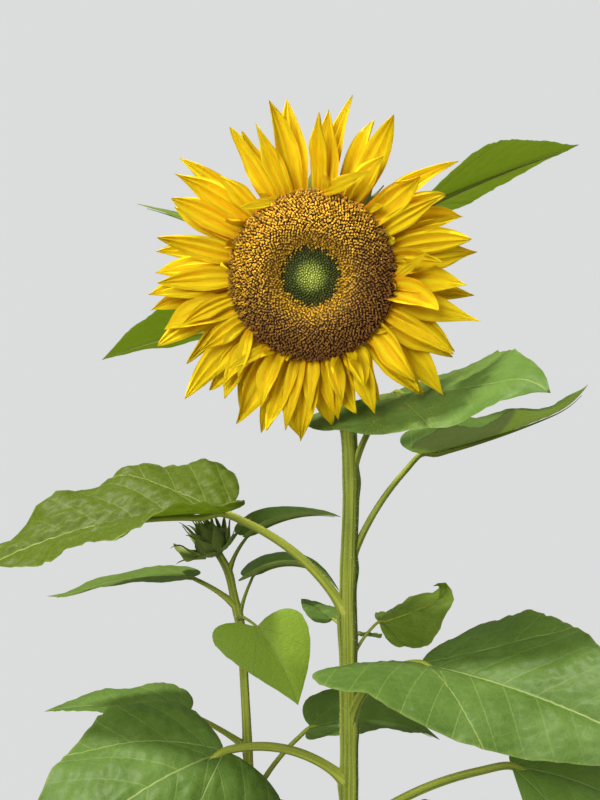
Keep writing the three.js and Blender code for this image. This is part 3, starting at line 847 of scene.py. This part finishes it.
def blade_grid(rib, spec, seed):
    """The blade of a leaf as a grid of points, with its flat coordinates."""
    length, width = spec["blade"][:2]
    rows = int(np.clip(length / BLADE_ROW, 22, 72))
    columns = 2 * int(np.clip(width / BLADE_COLUMN, 8, 28))
    row = (np.arange(rows + 1) / rows) ** 1.25
    row, column = np.meshgrid(row, np.linspace(-1, 1, columns + 1), indexing="ij")
    side = np.abs(column)
    foot, arch, lobe = (np.where(column > 0, a, b) for a, b in zip(spec["left"], spec["right"]))
    back = lobe * np.sin(math.pi * np.sqrt(row)) * (1 - row)
    reach = 0.5 * width * np.sin(math.pi * row**0.55) ** 1.1
    teeth = np.abs((row * TEETH + 0.3 * np.sin(row * 40 + seed)) % 1 - 0.62)
    reach = reach * (1 - 0.05 * side**5 * teeth * smooth(row, 0.05, 0.2))
    distance = length * mix(row**1.6, row - back, side)
    at, left, up = midrib_frames(rib, spec, distance)
    slope = np.radians(foot + 0.5 * arch * side - np.where(column > 0, spec["droop"] * row, 0))
    face = at + left * (np.sign(column) * reach * side * np.cos(slope))[..., None]
    face = face + up * (reach * side * np.sin(slope))[..., None]
    x, y = distance / length, np.sign(column) * reach * side / length
    lift = blade_lift(spec, x, y, side, row, seed)
    face = face + grid_normals(face, up) * lift[..., None]
    for end in (0, -1):
        face[end] = face[end].mean(axis=0)
    return face, grid_normals(face, up), np.stack([x, y, 0 * x], axis=-1), column, row


def add_blade(shape, rib, spec, thickness, tone, seed):
    """Adds a leaf's blade, thinner towards its edge."""
    face, normal, flat, column, row = blade_grid(rib, spec, seed)
    half = 0.5 * thickness * (1 - 0.5 * np.abs(column))
    points, faces, grid, under = blade_parts(face, normal, half)
    shape.add(
        points, faces, 0, flat=flat.reshape(-1, 3)[grid], across=np.abs(column).ravel()[grid],
        along=row.ravel()[grid], under=under, tone=tone, dust=spec["dust"], shade=spec["shade"],
    )


def add_stalk(shape, stalk, rib, spec, tone, hair_length, seed):
    """Adds a leaf's stalk with its hairs, and the rib that it becomes under the blade."""
    length = spec["blade"][0]
    stalk_length = spec["stalk"][0]
    thick = max(1.0, 0.02 * length - 0.3)
    under_rib = np.linspace(0.07, RIB_END, 12)
    at, _, up = midrib_frames(rib, spec, under_rib * length)
    fall = thick * mix(1.0, 0.5, under_rib) + 0.3
    route = Path([*stalk, *(at - up * fall[:, None])])
    share = np.linspace(0, 1, int(route.length / STALK_RING) + 2)
    run = share * route.length
    on_blade = np.clip((run - stalk_length) / (RIB_END * length), 0, 1)
    radius = thick * mix(1.1, 0.78, np.clip(run / stalk_length, 0, 1))
    radius = radius * (1 - on_blade) ** 1.15 + 0.22
    radius = radius * (1 + 0.55 * np.exp(-np.maximum(run - 5, 0) / 7))
    angle = full_turn(STALK_SIDES)
    channel = 1 - 0.16 * np.maximum(np.sin(angle), 0) ** 4 + 0.03 * np.cos(6 * angle)
    spine = route.at(share)
    side = leftward(math.radians(spec["bearing"]))
    points, faces, skin, out = tube_parts(spine, radius[:, None] * channel, side)
    shape.add(points, faces, 1, grain=tube_values(spine, STALK_SIDES), tone=tone)
    bare = skin[: int(len(skin) * stalk_length / route.length)]
    if len(bare) > 2:
        add_hairs(shape, bare, out, STALK_HAIR_SPACING, 0.8 * hair_length, seed, 2)


def leaf_shape(stem, spec, thickness, hair_length, seed):
    """A leaf: its blade, its stalk, and the rib that the stalk becomes under the blade."""
    path = STEMS[stem]["path"]
    start = path.at(path.share_at_height(spec["at"]))
    facing = spec["bearing"] + spec["swing"]
    stalk_length, *rise = spec["stalk"]
    length, _, *slope = spec["blade"]
    stalk, _, _ = course(start, (spec["bearing"], facing), rise, stalk_length, STALK_STEPS)
    bearing = (facing, facing + spec["bend"])
    rib = course(stalk[-1], bearing, slope, length, MIDRIB_STEPS, spec["curl"])
    tone = spec["fresh"] + about(0, 0.15, seed, 50)
    shape = Shape()
    add_blade(shape, rib, spec, thickness, tone, seed)
    add_stalk(shape, stalk, rib, spec, tone, hair_length, seed)
    return shape


# ---- Flower head ----

HEAD_DIAMETER = 236
DISC_RADIUS = 0.238 * HEAD_DIAMETER
# Heights over the head's centre: of the disc's underside, and of the topmost and lowest rays' feet.
DISC_BOTTOM = -2.5
RING_TOP = -2.8
RING_BOTTOM = -9.8
PETAL = {
    "turn": 0, "swing": 0, "fold": 0.3, "twist": 0, "curl": 0, "wave": 0, "ridge": 0.4, "waist": 0.4,
    "belly": 0.45, "sharp": 1.0, "thick": 0.5, "rows": 34, "columns": 12, "seed": 0, "bright": 0,
}


def turned_to(centre, direction):
    """Moves points from upright at the origin to a place, with +Z turned to a direction."""
    turn = np.array(Vector((0, 0, 1)).rotation_difference(Vector(direction)).to_matrix())
    return lambda points: points @ turn.T + centre


TO_HEAD = turned_to(HEAD_CENTRE, FACING)


def petal_outline(row, form):
    """The share of its full width that a petal has along its length."""
    belly = form["belly"]
    rise = mix(form["waist"], 1, np.sin(0.5 * math.pi * np.clip(row / belly, 0, 1)))
    fall = 1 - np.clip((row - belly) / (1 - belly), 0, 1) ** 1.6
    return np.where(row < belly, rise, fall ** form["sharp"])


def petal(shape, move, angle, radius, height, length, width, lean, **form):
    """Adds one ray floret or bract: a thin blade that starts at a radius and height.

    lean holds its angle out of the disc's plane at its foot and tip. turn sets it off askew, and
    swing turns it further on its way out. twist turns it about itself, and curl bends its tip.
    waist is its width at the foot, belly where it is widest, and sharp how long its tip is drawn
    out. fold lifts its edges, wave waves them, and ridge is the depth of its pleats. thick is its
    thickness, rows and columns its grid, seed its own number, and bright makes its
    tone lighter, as painted light.
    """
    form = {**PETAL, **form}
    seed = form["seed"]

    def way(share):
        tilt = mix(*lean, share) + form["curl"] * smooth(share, 0.55, 1.0)
        tilt = tilt + 4 * np.sin(5 * share + 6 * chance(seed, 61))
        return angle + np.radians(form["turn"] + form["swing"] * share), np.radians(tilt)

    start = heading(angle) * radius + UPWARD * height
    spine, along, turn = walk(start, way, length, form["rows"])
    row = np.linspace(0, 1, form["rows"] + 1)
    column = np.linspace(-1, 1, form["columns"] + 1)
    left = rolled(leftward(turn), along, form["twist"] * row)
    up = np.cross(along, left)

    half = (0.5 * width * petal_outline(row, form))[:, None]
    spread = 0.6 + 0.5 * abs(form["fold"])
    sideways = half * np.sin(column * spread) / math.sin(spread)
    fold = form["fold"] * (1 + 0.4 * np.sin(4 * row + seed))[:, None]
    body = np.sin(math.pi * np.clip(row, 0.02, 0.98))[:, None] ** 0.6
    pleats = 1 - 2 * np.abs(np.sin(1.5 * math.pi * (column + 0.12 * math.sin(seed))))
    rim = np.sin(row * 11 + 6 * chance(seed, 62))[:, None] * column**2 * np.sign(column)
    lift = half * fold * np.abs(column) ** 1.6 + form["wave"] * body * rim
    lift = lift + form["ridge"] * body * pleats * (1 - 0.55 * np.abs(column))
    face = spine[:, None] + left[:, None] * sideways[..., None] + up[:, None] * lift[..., None]
    face[-1] = spine[-1]
    normal = grid_normals(face, np.broadcast_to(up[:, None], face.shape))
    points, faces, grid, under = blade_parts(face, normal, form["thick"] / 2)
    grid_row, grid_column = np.divmod(grid, form["columns"] + 1)
    # The pleats' furrows are kept for the rays' painted shade.
    shape.add(
        move(points), faces, along=row[grid_row], across=column[grid_column], under=under,
        tone=chance(seed, 63) + form["bright"], furrow=((1 - pleats) / 2)[grid_column],
    )


def varied(form, n):
    """The form of the n-th petal, where each value has a middle, a spread and its own number."""
    return {key: about(middle, spread, n, k) for key, (middle, spread, k) in form.items()}


def in_rows(kinds, first, step, offset, uneven, k):
    """The number, row, kind and angle of each petal that stands round a head in rows."""
    for row, kind in enumerate(kinds):
        for i in range(kind["count"]):
            n = first + step * row + i
            place_in_row = i + offset * row + about(0, uneven, n, k)
            yield n, row, kind, place_in_row / kind["count"] * 2 * math.pi


WHORLS = [
    {"count": 24, "lean": -8, "reach": 1.0, "width": 18},
    {"count": 22, "lean": 2, "reach": 0.98, "width": 17.5},
    {"count": 21, "lean": 13, "reach": 0.87, "width": 15.5},
]
RAY_FORM = {
    "fold": (0.5, 0.5, 7), "twist": (0, 52, 8), "curl": (0, 38, 9), "wave": (1.1, 0.8, 10),
    "ridge": (1.5, 0.5, 11), "waist": (0.6, 0.08, 12), "belly": (0.48, 0.08, 13),
    "sharp": (1.05, 0.3, 14),
}
RAY_START = 0.9 * DISC_RADIUS
RAY_HANG = 9  # degrees that the lowest rays hang forward
# Rays crowd together on one side of the head, and are shorter over the leaf under it.
CROWDING = {"angle": 70, "share": 0.18}
SHORT_RAYS = {"angle": 290, "spread": 18, "share": 0.1}
RIM_CURLS = 17  # small curled rays round the rim
CURL_FORM = {
    "turn": (0, 50, 10), "swing": (0, 60, 6), "fold": (0.5, 0.4, 7), "twist": (0, 90, 8),
    "curl": (20, 60, 9),
}
# Rays that lie askew along the rim: where they start and how far askew, in degrees, and their size.
RIM_RAYS = [(77, -62, 40, 10), (108, 78, 27, 7), (214, 38, 36, 9), (232, -30, 34, 8), (352, 40, 30, 7)]


def ray_length(angle, reach):
    """How far a ray reaches from the head's centre at an angle round it."""
    off = (angle - math.radians(SHORT_RAYS["angle"]) + math.pi) % (2 * math.pi) - math.pi
    near = math.exp(-((off / math.radians(SHORT_RAYS["spread"])) ** 2))
    return reach * (1 - SHORT_RAYS["share"] * near)


def ray_shape(head_diameter, thickness):
    """The golden ray florets: three whorls of long ones, and small curled ones on the rim."""
    shape = Shape()
    for n, whorl, kind, angle in in_rows(WHORLS, 0, 100, 0.33, 0.25, 2):
        angle += CROWDING["share"] * math.sin(angle - math.radians(CROWDING["angle"]))
        lean = about(kind["lean"], 4, n, 1) + RAY_HANG * max(0, -math.sin(angle))
        reach = ray_length(angle, 0.5 * head_diameter * kind["reach"]) * about(1.0, 0.09, n, 3)
        petal(
            shape, TO_HEAD, angle, RAY_START, mix(RING_BOTTOM, RING_TOP, (whorl + 0.5) / len(WHORLS)),
            reach - RAY_START, about(kind["width"], 4, n, 4), (lean, lean + about(-3, 12, n, 5)),
            swing=about(0, 15, n, 6) - 15 * math.cos(angle), **varied(RAY_FORM, n),
            thick=thickness, columns=18, rows=30, seed=n + 1,
        )
    for i in range(RIM_CURLS):
        n = 400 + i
        angle = (i + about(0, 0.4, n, 1)) / RIM_CURLS * 2 * math.pi
        petal(
            shape, TO_HEAD, angle, 0.97 * DISC_RADIUS, RING_TOP, about(24, 10, n, 2),
            about(5.5, 2, n, 3), (about(45, 20, n, 4), about(60, 60, n, 5)), **varied(CURL_FORM, n),
            ridge=0.25, rows=20, columns=6, thick=thickness, seed=n,
        )
    for n, (angle, turn, length, width) in enumerate(RIM_RAYS, 450):
        petal(
            shape, TO_HEAD, math.radians(angle), 0.99 * DISC_RADIUS, 3, length, width, (38, 2),
            turn=turn, fold=0.25, ridge=0.5, waist=0.6, rows=24, columns=10, thick=thickness, seed=n,
        )
    return shape


DISC_PROFILE = [
    (0, 7.0), (0.1, 7.8), (0.2, 7.4), (0.31, 6.2), (0.4, 8.2), (0.5, 11.2), (0.6, 12.4), (0.69, 12.2),
    (0.78, 10.8), (0.88, 8.0), (0.95, 4.6), (1.0, 0.6), (1.02, -2.5),
]
GROUND_SIDES = 72
OPEN_FROM = 0.365  # the share of the disc's radius from which its florets are open
FLORET_ARM = [(0.1, 1.7), (0.45, 2.8), (1.05, 2.9)]  # how far out and how high a curled tip runs
SPIRAL_ANGLE = 137.5077  # the golden angle, as closely as the disc's spirals need it


def disc_height(share):
    """The height of the disc's ground at shares of its radius, with the corners eased."""
    at, height = np.array(DISC_PROFILE).T
    return sum(np.interp(np.abs(share + shift), at, height) for shift in (-0.03, 0, 0.03)) / 3


def open_floret():
    """One ripe floret, upright: a column with two curled tips."""
    shape = Shape()
    points, faces = turned_parts([(0.6, -0.6), (0.72, 2.1)], 5)
    shape.add(points, faces, tip=np.clip(points[:, 2] / 3.2, 0, 1))
    radii = np.array([0.4, 0.45, 0.12])[:, None] * np.ones(3)
    for turn in (0.0, 2.7):
        side = heading(turn)
        arm = np.array([side * reach + UPWARD * height for reach, height in FLORET_ARM])
        points, faces, _, _ = tube_parts(arm, radii, np.cross(side, UPWARD))
        shape.add(points, faces, tip=np.clip(points[:, 2] / 2.6, 0, 1))
    return shape


def closed_floret():
    """One floret that has yet to open, upright: a pointed bud."""
    shape = Shape()
    points, faces = turned_parts([(0.8, -0.6), (0.95, 0.8), (0.7, 1.7), (0.12, 2.3)], 6)
    shape.add(points, faces, tip=np.clip(points[:, 2] / 2.3, 0, 1))
    return shape


def floret_painted_light(share, out, rng):
    """Painted light on the florets: how golden their tips are where light falls, outside towards the head's
    top, inside towards its foot.
    """
    upward = out @ unit(np.array([-0.35, 1.0, 0]))
    outer = smooth(share, 0.46, 0.62)
    inner = smooth(share, 0.34, 0.38) * (1 - outer)
    outside = outer * smooth(upward + rng.normal(0, 0.22, len(share)), -0.35, 0.75)
    inside = inner * smooth(rng.normal(0, 0.2, len(share)) - upward, -0.5, 0.4)
    return outside * (1 - 0.5 * smooth(share, 0.85, 1)) + 0.55 * inside


def disc_shape(count):
    """The disc: its domed ground, and its florets in spirals of the golden angle."""
    shape = Shape()
    share = np.array([0.001, *np.linspace(0.04, 1.0, 26), 1.02])
    profile = np.stack([DISC_RADIUS * share, disc_height(share)], axis=-1)
    points, faces = turned_parts(profile, GROUND_SIDES)
    points[-1, 2] = DISC_BOTTOM
    ripe = np.concatenate([np.repeat(share, GROUND_SIDES), [0, 1]])
    shape.add(TO_HEAD(points), [group[:, ::-1] for group in faces], ripe=ripe, tip=0.0, tone=0.2)

    rng = np.random.default_rng(7)
    number = np.arange(count)
    share = np.sqrt((number + 0.5) / count) * 0.995
    is_open = share >= OPEN_FROM
    out = heading(number * math.radians(SPIRAL_ANGLE))
    slope = (disc_height(share + 0.01) - disc_height(share - 0.01)) / (0.02 * DISC_RADIUS)
    tip_out = 0.25 * smooth(share, 0.9, 1.0) - 1.1 * ~is_open * smooth(share, 0.02, 0.15)
    up = unit(UPWARD + out * (tip_out - 0.8 * slope)[:, None] + rng.normal(0, 0.13, (count, 3)))
    gilt = floret_painted_light(share, out, rng)
    foot = rng.normal(0, 0.16, (count, 3)) + out * (share * DISC_RADIUS)[:, None]
    foot = foot + UPWARD * disc_height(share)[:, None]
    side = unit(np.cross(up, heading(rng.uniform(0, 2 * math.pi, count))))
    frames = np.stack([side, np.cross(up, side), up], axis=1)
    size = rng.uniform(0.8, 1.2, count) * (1 + 0.25 * smooth(share, 0.85, 1.0))
    tone = rng.random(count)
    for template, chosen, grow in (
        (closed_floret(), ~is_open, 0.56 + 0.7 * share),
        (open_floret(), is_open, 0.6 + 0.2 * smooth(share, 0.34, 0.40) + 0.1 * share),
    ):
        model = np.concatenate(template.points)
        tip = np.concatenate([values["tip"] for _, values in template.values])
        copies = (model @ frames[chosen]) * (size * grow)[chosen][:, None, None]
        start = np.arange(chosen.sum())[:, None, None] * len(model)
        shape.add(
            TO_HEAD((foot[chosen][:, None] + copies).reshape(-1, 3)),
            [(group + start).reshape(-1, group.shape[1]) for group in template.faces],
            tip=np.tile(tip, chosen.sum()), ripe=np.repeat(share[chosen], len(model)),
            tone=np.repeat(tone[chosen], len(model)), gilt=np.repeat(gilt[chosen], len(model)),
        )
    return shape


CUP_PROFILE = [
    (6.5, -31), (8.5, -27.5), (14, -24.6), (19, -23.4), (24, -22.2), (30, -20.9), (36, -19.6),
    (41, -18.2), (46, -16.8), (52, -13.6), (55, -11.5), (55.4, -10.6), (54, -9.9),
]
CUP_SIDES = 160
CUP_RIBS = 21
CUP_STREAKS = 10
BRACT_ROWS = [
    {"count": 13, "height": -14, "lean": (-22, -34), "length": 57, "width": 21},
    {"count": 12, "height": -17, "lean": (-34, -52), "length": 49, "width": 19},
]


def receptacle_shape():
    """The green cup behind the disc, with its rows of long-tipped bracts."""
    shape = Shape()
    points, faces = turned_parts(CUP_PROFILE, CUP_SIDES)
    x, y, _ = points.T
    angle = np.arctan2(y, x)
    radius = np.hypot(x, y)
    points[:, 2] -= 0.5 * np.cos(angle * CUP_RIBS) * smooth(radius, 12, 40)
    across = np.cos(angle * CUP_STREAKS)
    shape.add(TO_HEAD(points), faces, along=radius / 110, across=across, tone=0.5)
    for n, _, kind, angle in in_rows(BRACT_ROWS, 500, 50, 0.5, 0.12, 1):
        petal(
            shape, TO_HEAD, angle, 0.74 * DISC_RADIUS, kind["height"], about(kind["length"], 5, n, 2),
            kind["width"], [about(lean, 4, n, 3 + k) for k, lean in enumerate(kind["lean"])],
            swing=about(0, 9, n, 5), fold=-0.25, ridge=0.25, curl=about(10, 25, n, 6), wave=0.6,
            waist=0.8, belly=0.22, sharp=3.0, thick=1.0, rows=26, columns=8, seed=n,
        )
    return shape


# ---- Bud ----

BUD_RADIUS = 15
BUD_PROFILE = [
    (2.4, -4), (3.2, -1), (6.5, 0.6), (11.5, 3.2), (14.2, 8), (13.6, 14), (10.5, 19), (6, 22.5), (1, 24),
]
BUD_ROWS = [
    {"count": 6, "radius": 0.4, "height": 10, "lean": (80, 102), "length": 25, "width": 18},
    {"count": 7, "radius": 0.68, "height": 4, "lean": (84, 92), "length": 34, "width": 16},
    {"count": 7, "radius": 0.8, "height": 2, "lean": (60, 74), "length": 32, "width": 13},
    {"count": 6, "radius": 0.7, "height": 1, "lean": (24, 30), "length": 26, "width": 11},
]
# The leafy bract beside the bud: where it starts round the bud, in degrees, its length and width.
BUD_LEAF = (168, 27, 21)


def bud_shape():
    """The green bud: a round core that its pointed bracts close over."""
    shape = Shape()
    end = SIDE_PATH.at(1.0)
    move = turned_to(end, unit(end - SIDE_PATH.at(0.995)))
    points, faces = turned_parts(BUD_PROFILE, 32)
    shape.add(move(points), faces, along=0.2, across=0.5, tone=0.3)
    for n, _, kind, angle in in_rows(BUD_ROWS, 700, 20, 0.4, 0.15, 1):
        petal(
            shape, move, angle, kind["radius"] * BUD_RADIUS, kind["height"],
            about(kind["length"], 4, n, 2), kind["width"],
            [about(lean, 7, n, 3 + k) for k, lean in enumerate(kind["lean"])],
            swing=about(0, 14, n, 5), fold=0.45, ridge=0.2, curl=about(-25, 60, n, 6), wave=0.5,
            waist=0.8, belly=0.2, sharp=3.6, thick=0.8, rows=26, columns=8, seed=n,
        )
    angle, length, width = BUD_LEAF
    # Painted light: the leafy bract's tone is raised, as light that would fall on it.
    petal(
        shape, move, math.radians(angle), 0.8 * BUD_RADIUS, 3, length, width, (38, 66), fold=-0.3,
        ridge=0.5, wave=1.4, waist=0.4, belly=0.4, sharp=1.2, thick=0.8, rows=26, columns=14,
        seed=790, bright=2.4,
    )
    return shape


# ---- Settings ----


def length_property(name, description, default, least, most):
    return bpy.props.FloatProperty(
        name=name, description=description, default=default, min=least, max=most, unit="LENGTH"
    )


def colour_property(name, description, default):
    return bpy.props.FloatVectorProperty(
        name=name, description=description, default=default, size=3, min=0, max=1, subtype="COLOR"
    )


class SUNFLOWER_PG_sizes(bpy.types.PropertyGroup):
    head_diameter: length_property(
        "Head diameter", "Width of the flower head over its ray florets", HEAD_DIAMETER * MM, 0.1, 0.4
    )
    blade_thickness: length_property(
        "Blade thickness", "Thickness of a leaf blade at its middle", 0.7 * MM, 0.3 * MM, 2 * MM
    )
    ray_thickness: length_property(
        "Ray thickness", "Thickness of a ray floret", 0.5 * MM, 0.2 * MM, 2 * MM
    )
    hair_length: length_property(
        "Hair length", "Length of the stiff hairs on the stems", 1.7 * MM, 0.2 * MM, 4 * MM
    )
    florets: bpy.props.IntProperty(
        name="Disc florets", description="How many florets fill the disc", default=3000, min=200, max=3400
    )


class SUNFLOWER_PG_colours(bpy.types.PropertyGroup):
    leaf_dark: colour_property("Leaf, dark", "Deeper green of the upper face", (0.034, 0.078, 0.014))
    leaf_light: colour_property("Leaf, light", "Lighter green of the upper face", (0.110, 0.188, 0.045))
    # Yellow-green of young leaves, partly a painted glow of light through the blade.
    leaf_fresh: colour_property("Leaf, fresh", "Yellow-green of the youngest leaves", (0.165, 0.235, 0.008))
    # Paler green of the lower face, lightened further as painted light.
    leaf_under_and_painted_light: colour_property("Leaf, under", "Paler green of the lower face", (0.29, 0.37, 0.11))
    leaf_vein: colour_property("Leaf veins", "Pale green of the veins", (0.27, 0.34, 0.09))
    leaf_glow: colour_property("Leaf glow", "Light that comes through a blade", (0.43, 0.55, 0.012))
    stem_dark: colour_property("Stem, dark", "Green of the furrows", (0.050, 0.080, 0.006))
    stem_light: colour_property("Stem, light", "Yellow-green of the ribs", (0.36, 0.40, 0.045))
    hair: colour_property("Hairs", "Pale hairs of the stems", (0.72, 0.76, 0.55))
    # Gold of real pollen on the leaves, also used as painted light on the disc florets' tips.
    pollen_and_painted_light: colour_property("Pollen", "Gold on the tips of the disc florets", (0.86, 0.52, 0.035))
    ray: colour_property("Rays", "Yellow of the ray florets", (1.0, 0.82, 0.008))
    # The rays' own amber, also used as painted shade at their feet and in their furrows.
    ray_amber_and_shade: colour_property("Rays, deep", "Amber at their feet", (0.93, 0.43, 0.002))
    ray_glow: colour_property("Ray glow", "Light that comes through a ray", (0.97, 0.54, 0.002))
    bract_dark: colour_property("Bracts, dark", "Deeper green of the bracts", (0.095, 0.135, 0.026))
    bract_light: colour_property("Bracts, light", "Lighter green of the bracts", (0.28, 0.36, 0.075))


class SUNFLOWER_PG_stage(bpy.types.PropertyGroup):
    sun_strength: bpy.props.FloatProperty(
        name="Sun", description="Strength of the key light", default=6.2, min=0, max=20
    )
    softbox_power: bpy.props.FloatProperty(
        name="Softbox", description="Power of the broad light in front", default=76, min=0, max=400,
        unit="POWER",
    )
    sky_strength: bpy.props.FloatProperty(
        name="Sky", description="Strength of the soft light all round", default=0.55, min=0, max=5
    )
    backdrop: colour_property("Backdrop", "Colour of the pale surroundings", (0.71, 0.72, 0.715))


# ---- Stage ----

# Places on the stage are in metres.
CAMERA_PLACE = (-0.039, -0.833, 1.022)
SUN_SIDE = (-0.29, -0.15, 0.945)
SUN_SPREAD = 6  # degrees
SUN_COLOUR = (1.0, 0.95, 0.86)
SOFTBOX_PLACE = (-1.1, -2.1, 1.9)
SOFTBOX_AIM = (0, 0, 1.0)
SOFTBOX_SIZE = 1.4
FLOOR_RADIUS = 1900
FLOOR_SIDES = 96


def shining_from(side):
    """The turn of a lamp whose light comes from a side."""
    return Vector(side).to_track_quat("Z", "Y").to_euler()


def add_camera(scene):
    camera = bpy.data.objects.new("camera", bpy.data.cameras.new("camera"))
    camera.location = CAMERA_PLACE
    camera.rotation_euler = (math.pi / 2, 0, 0)
    camera.data.lens = 50
    camera.data.sensor_fit = "VERTICAL"
    camera.data.sensor_height = 36
    scene.collection.objects.link(camera)
    scene.camera = camera


def add_sun(scene, strength):
    lamp = bpy.data.lights.new("sun", "SUN")
    lamp.energy = strength
    lamp.angle = math.radians(SUN_SPREAD)
    lamp.color = SUN_COLOUR
    sun = bpy.data.objects.new("sun", lamp)
    sun.rotation_euler = shining_from(SUN_SIDE)
    scene.collection.objects.link(sun)


def add_softbox(scene, power):
    lamp = bpy.data.lights.new("softbox", "AREA")
    lamp.energy = power
    lamp.size = SOFTBOX_SIZE
    softbox = bpy.data.objects.new("softbox", lamp)
    softbox.location = SOFTBOX_PLACE
    softbox.rotation_euler = shining_from(softbox.location - Vector(SOFTBOX_AIM))
    scene.collection.objects.link(softbox)


def add_sky(scene, strength, colour):
    """A sky that is seen in the backdrop's colour, and lights the plant with a share of it."""
    world = bpy.data.worlds.new("sky")
    world.use_nodes = True
    world.node_tree.nodes.clear()
    wire = Wire(world.node_tree)
    fill = tuple(part * strength for part in colour)
    seen = wire.make("LightPath", out="Is Camera Ray").tint(fill, colour)
    wire.make("OutputWorld", values={"Surface": wire.make("Background", values={"Color": seen})})
    scene.world = world


def add_floor(colour):
    shape = Shape()
    shape.add(FLOOR_RADIUS * heading(full_turn(FLOOR_SIDES)), [np.arange(FLOOR_SIDES)[None]])
    shape.build("floor", [shared_material("floor", paint_floor, colour)])


# ---- Operators ----


class SUNFLOWER_OT_stage(bpy.types.Operator):
    """Sets the pale floor, the soft light and the camera"""

    bl_idname = "sunflower.stage"
    bl_label = "Stage"

    def execute(self, context):
        scene = context.scene
        stage = scene.sunflower_stage
        colour = tuple(stage.backdrop)
        add_camera(scene)
        add_sun(scene, stage.sun_strength)
        add_softbox(scene, stage.softbox_power)
        add_sky(scene, stage.sky_strength, colour)
        add_floor(colour)
        scene.view_settings.view_transform = "Standard"
        return {"FINISHED"}


class SUNFLOWER_OT_stems(bpy.types.Operator):
    """Makes the ribbed and hairy main stem and side stem"""

    bl_idname = "sunflower.stems"
    bl_label = "Stems"

    def execute(self, context):
        hair_length = context.scene.sunflower_sizes.hair_length / MM
        skins = [
            shared_material("stem_skin", paint_stem, 0.0), shared_material("plant_hairs", paint_hairs),
        ]
        for seed, (stem, leaves) in enumerate((("main", MAIN_LEAVES), ("side", SIDE_LEAVES)), 1):
            shape = stem_shape(stem, leaves, hair_length, seed)
            place(shape.build(f"{stem}_stem_fine", skins), "stem", f"{stem}_stem")
        return {"FINISHED"}


class SUNFLOWER_OT_leaves(bpy.types.Operator):
    """Makes the leaves with their stalks, veins and waved margins"""

    bl_idname = "sunflower.leaves"
    bl_label = "Leaves"

    def execute(self, context):
        sizes = context.scene.sunflower_sizes
        thickness, hair_length = sizes.blade_thickness / MM, sizes.hair_length / MM
        skins = [
            shared_material("leaf_blade", paint_leaf),
            shared_material("leaf_stalk", paint_stem, 0.05),
            shared_material("plant_hairs", paint_hairs),
        ]
        named = [("main", f"leaf_{i:02d}", spec) for i, spec in enumerate(MAIN_LEAVES, 1)]
        named += [("side", f"side_leaf_{i}", spec) for i, spec in enumerate(SIDE_LEAVES, 1)]
        for seed, (stem, node, spec) in enumerate(named, 1):
            shape = leaf_shape(stem, spec, thickness, hair_length, seed)
            place(shape.build(f"{node}_fine", skins), "leaf", node)
        return {"FINISHED"}


class SUNFLOWER_OT_rays(bpy.types.Operator):
    """Makes the golden ray florets"""

    bl_idname = "sunflower.rays"
    bl_label = "Ray florets"

    def execute(self, context):
        sizes = context.scene.sunflower_sizes
        shape = ray_shape(sizes.head_diameter / MM, sizes.ray_thickness / MM)
        skin = shared_material("ray_floret", paint_rays)
        place(shape.build("ray_florets_fine", [skin]), "ray", "ray_florets")
        return {"FINISHED"}


class SUNFLOWER_OT_disc(bpy.types.Operator):
    """Makes the disc with its many small florets"""

    bl_idname = "sunflower.disc"
    bl_label = "Disc"

    def execute(self, context):
        shape = disc_shape(context.scene.sunflower_sizes.florets)
        skin = shared_material("disc_floret", paint_florets)
        place(shape.build("flower_disc_fine", [skin]), "disc", "flower_disc")
        return {"FINISHED"}


class SUNFLOWER_OT_bracts(bpy.types.Operator):
    """Makes the cup of bracts behind the flower, and the bud"""

    bl_idname = "sunflower.bracts"
    bl_label = "Bracts and bud"

    def execute(self, context):
        skin = shared_material("bract_skin", paint_bracts)
        place(receptacle_shape().build("receptacle_fine", [skin]), "bract", "receptacle")
        place(bud_shape().build("flower_bud_fine", [skin]), "bract", "flower_bud")
        return {"FINISHED"}


class SUNFLOWER_PT_panel(bpy.types.Panel):
    bl_idname = "SUNFLOWER_PT_panel"
    bl_label = "Sunflower plant"
    bl_space_type = "VIEW_3D"
    bl_region_type = "UI"
    bl_category = "Sunflower"

    def draw(self, context):
        for step in STEPS:
            self.layout.operator(step.bl_idname)
        for settings in SETTINGS:
            box = self.layout.box()
            group = getattr(context.scene, settings)
            for name in group.__annotations__:
                box.prop(group, name)


STEPS = [
    SUNFLOWER_OT_stage, SUNFLOWER_OT_stems, SUNFLOWER_OT_leaves, SUNFLOWER_OT_bracts,
    SUNFLOWER_OT_rays, SUNFLOWER_OT_disc,
]
SETTINGS = {
    "sunflower_sizes": SUNFLOWER_PG_sizes,
    "sunflower_colours": SUNFLOWER_PG_colours,
    "sunflower_stage": SUNFLOWER_PG_stage,
}


def register():
    for kind in (*SETTINGS.values(), *STEPS, SUNFLOWER_PT_panel):
        bpy.utils.register_class(kind)
    for name, kind in SETTINGS.items():
        setattr(bpy.types.Scene, name, bpy.props.PointerProperty(type=kind))


def unregister():
    for name in SETTINGS:
        delattr(bpy.types.Scene, name)
    for kind in (SUNFLOWER_PT_panel, *reversed(STEPS), *SETTINGS.values()):
        bpy.utils.unregister_class(kind)


def main():
    register()
    bpy.ops.sunflower.stage()
    bpy.ops.sunflower.stems()
    bpy.ops.sunflower.leaves()
    bpy.ops.sunflower.bracts()
    bpy.ops.sunflower.rays()
    bpy.ops.sunflower.disc()
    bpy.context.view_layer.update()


if __name__ == "__main__":
    main()
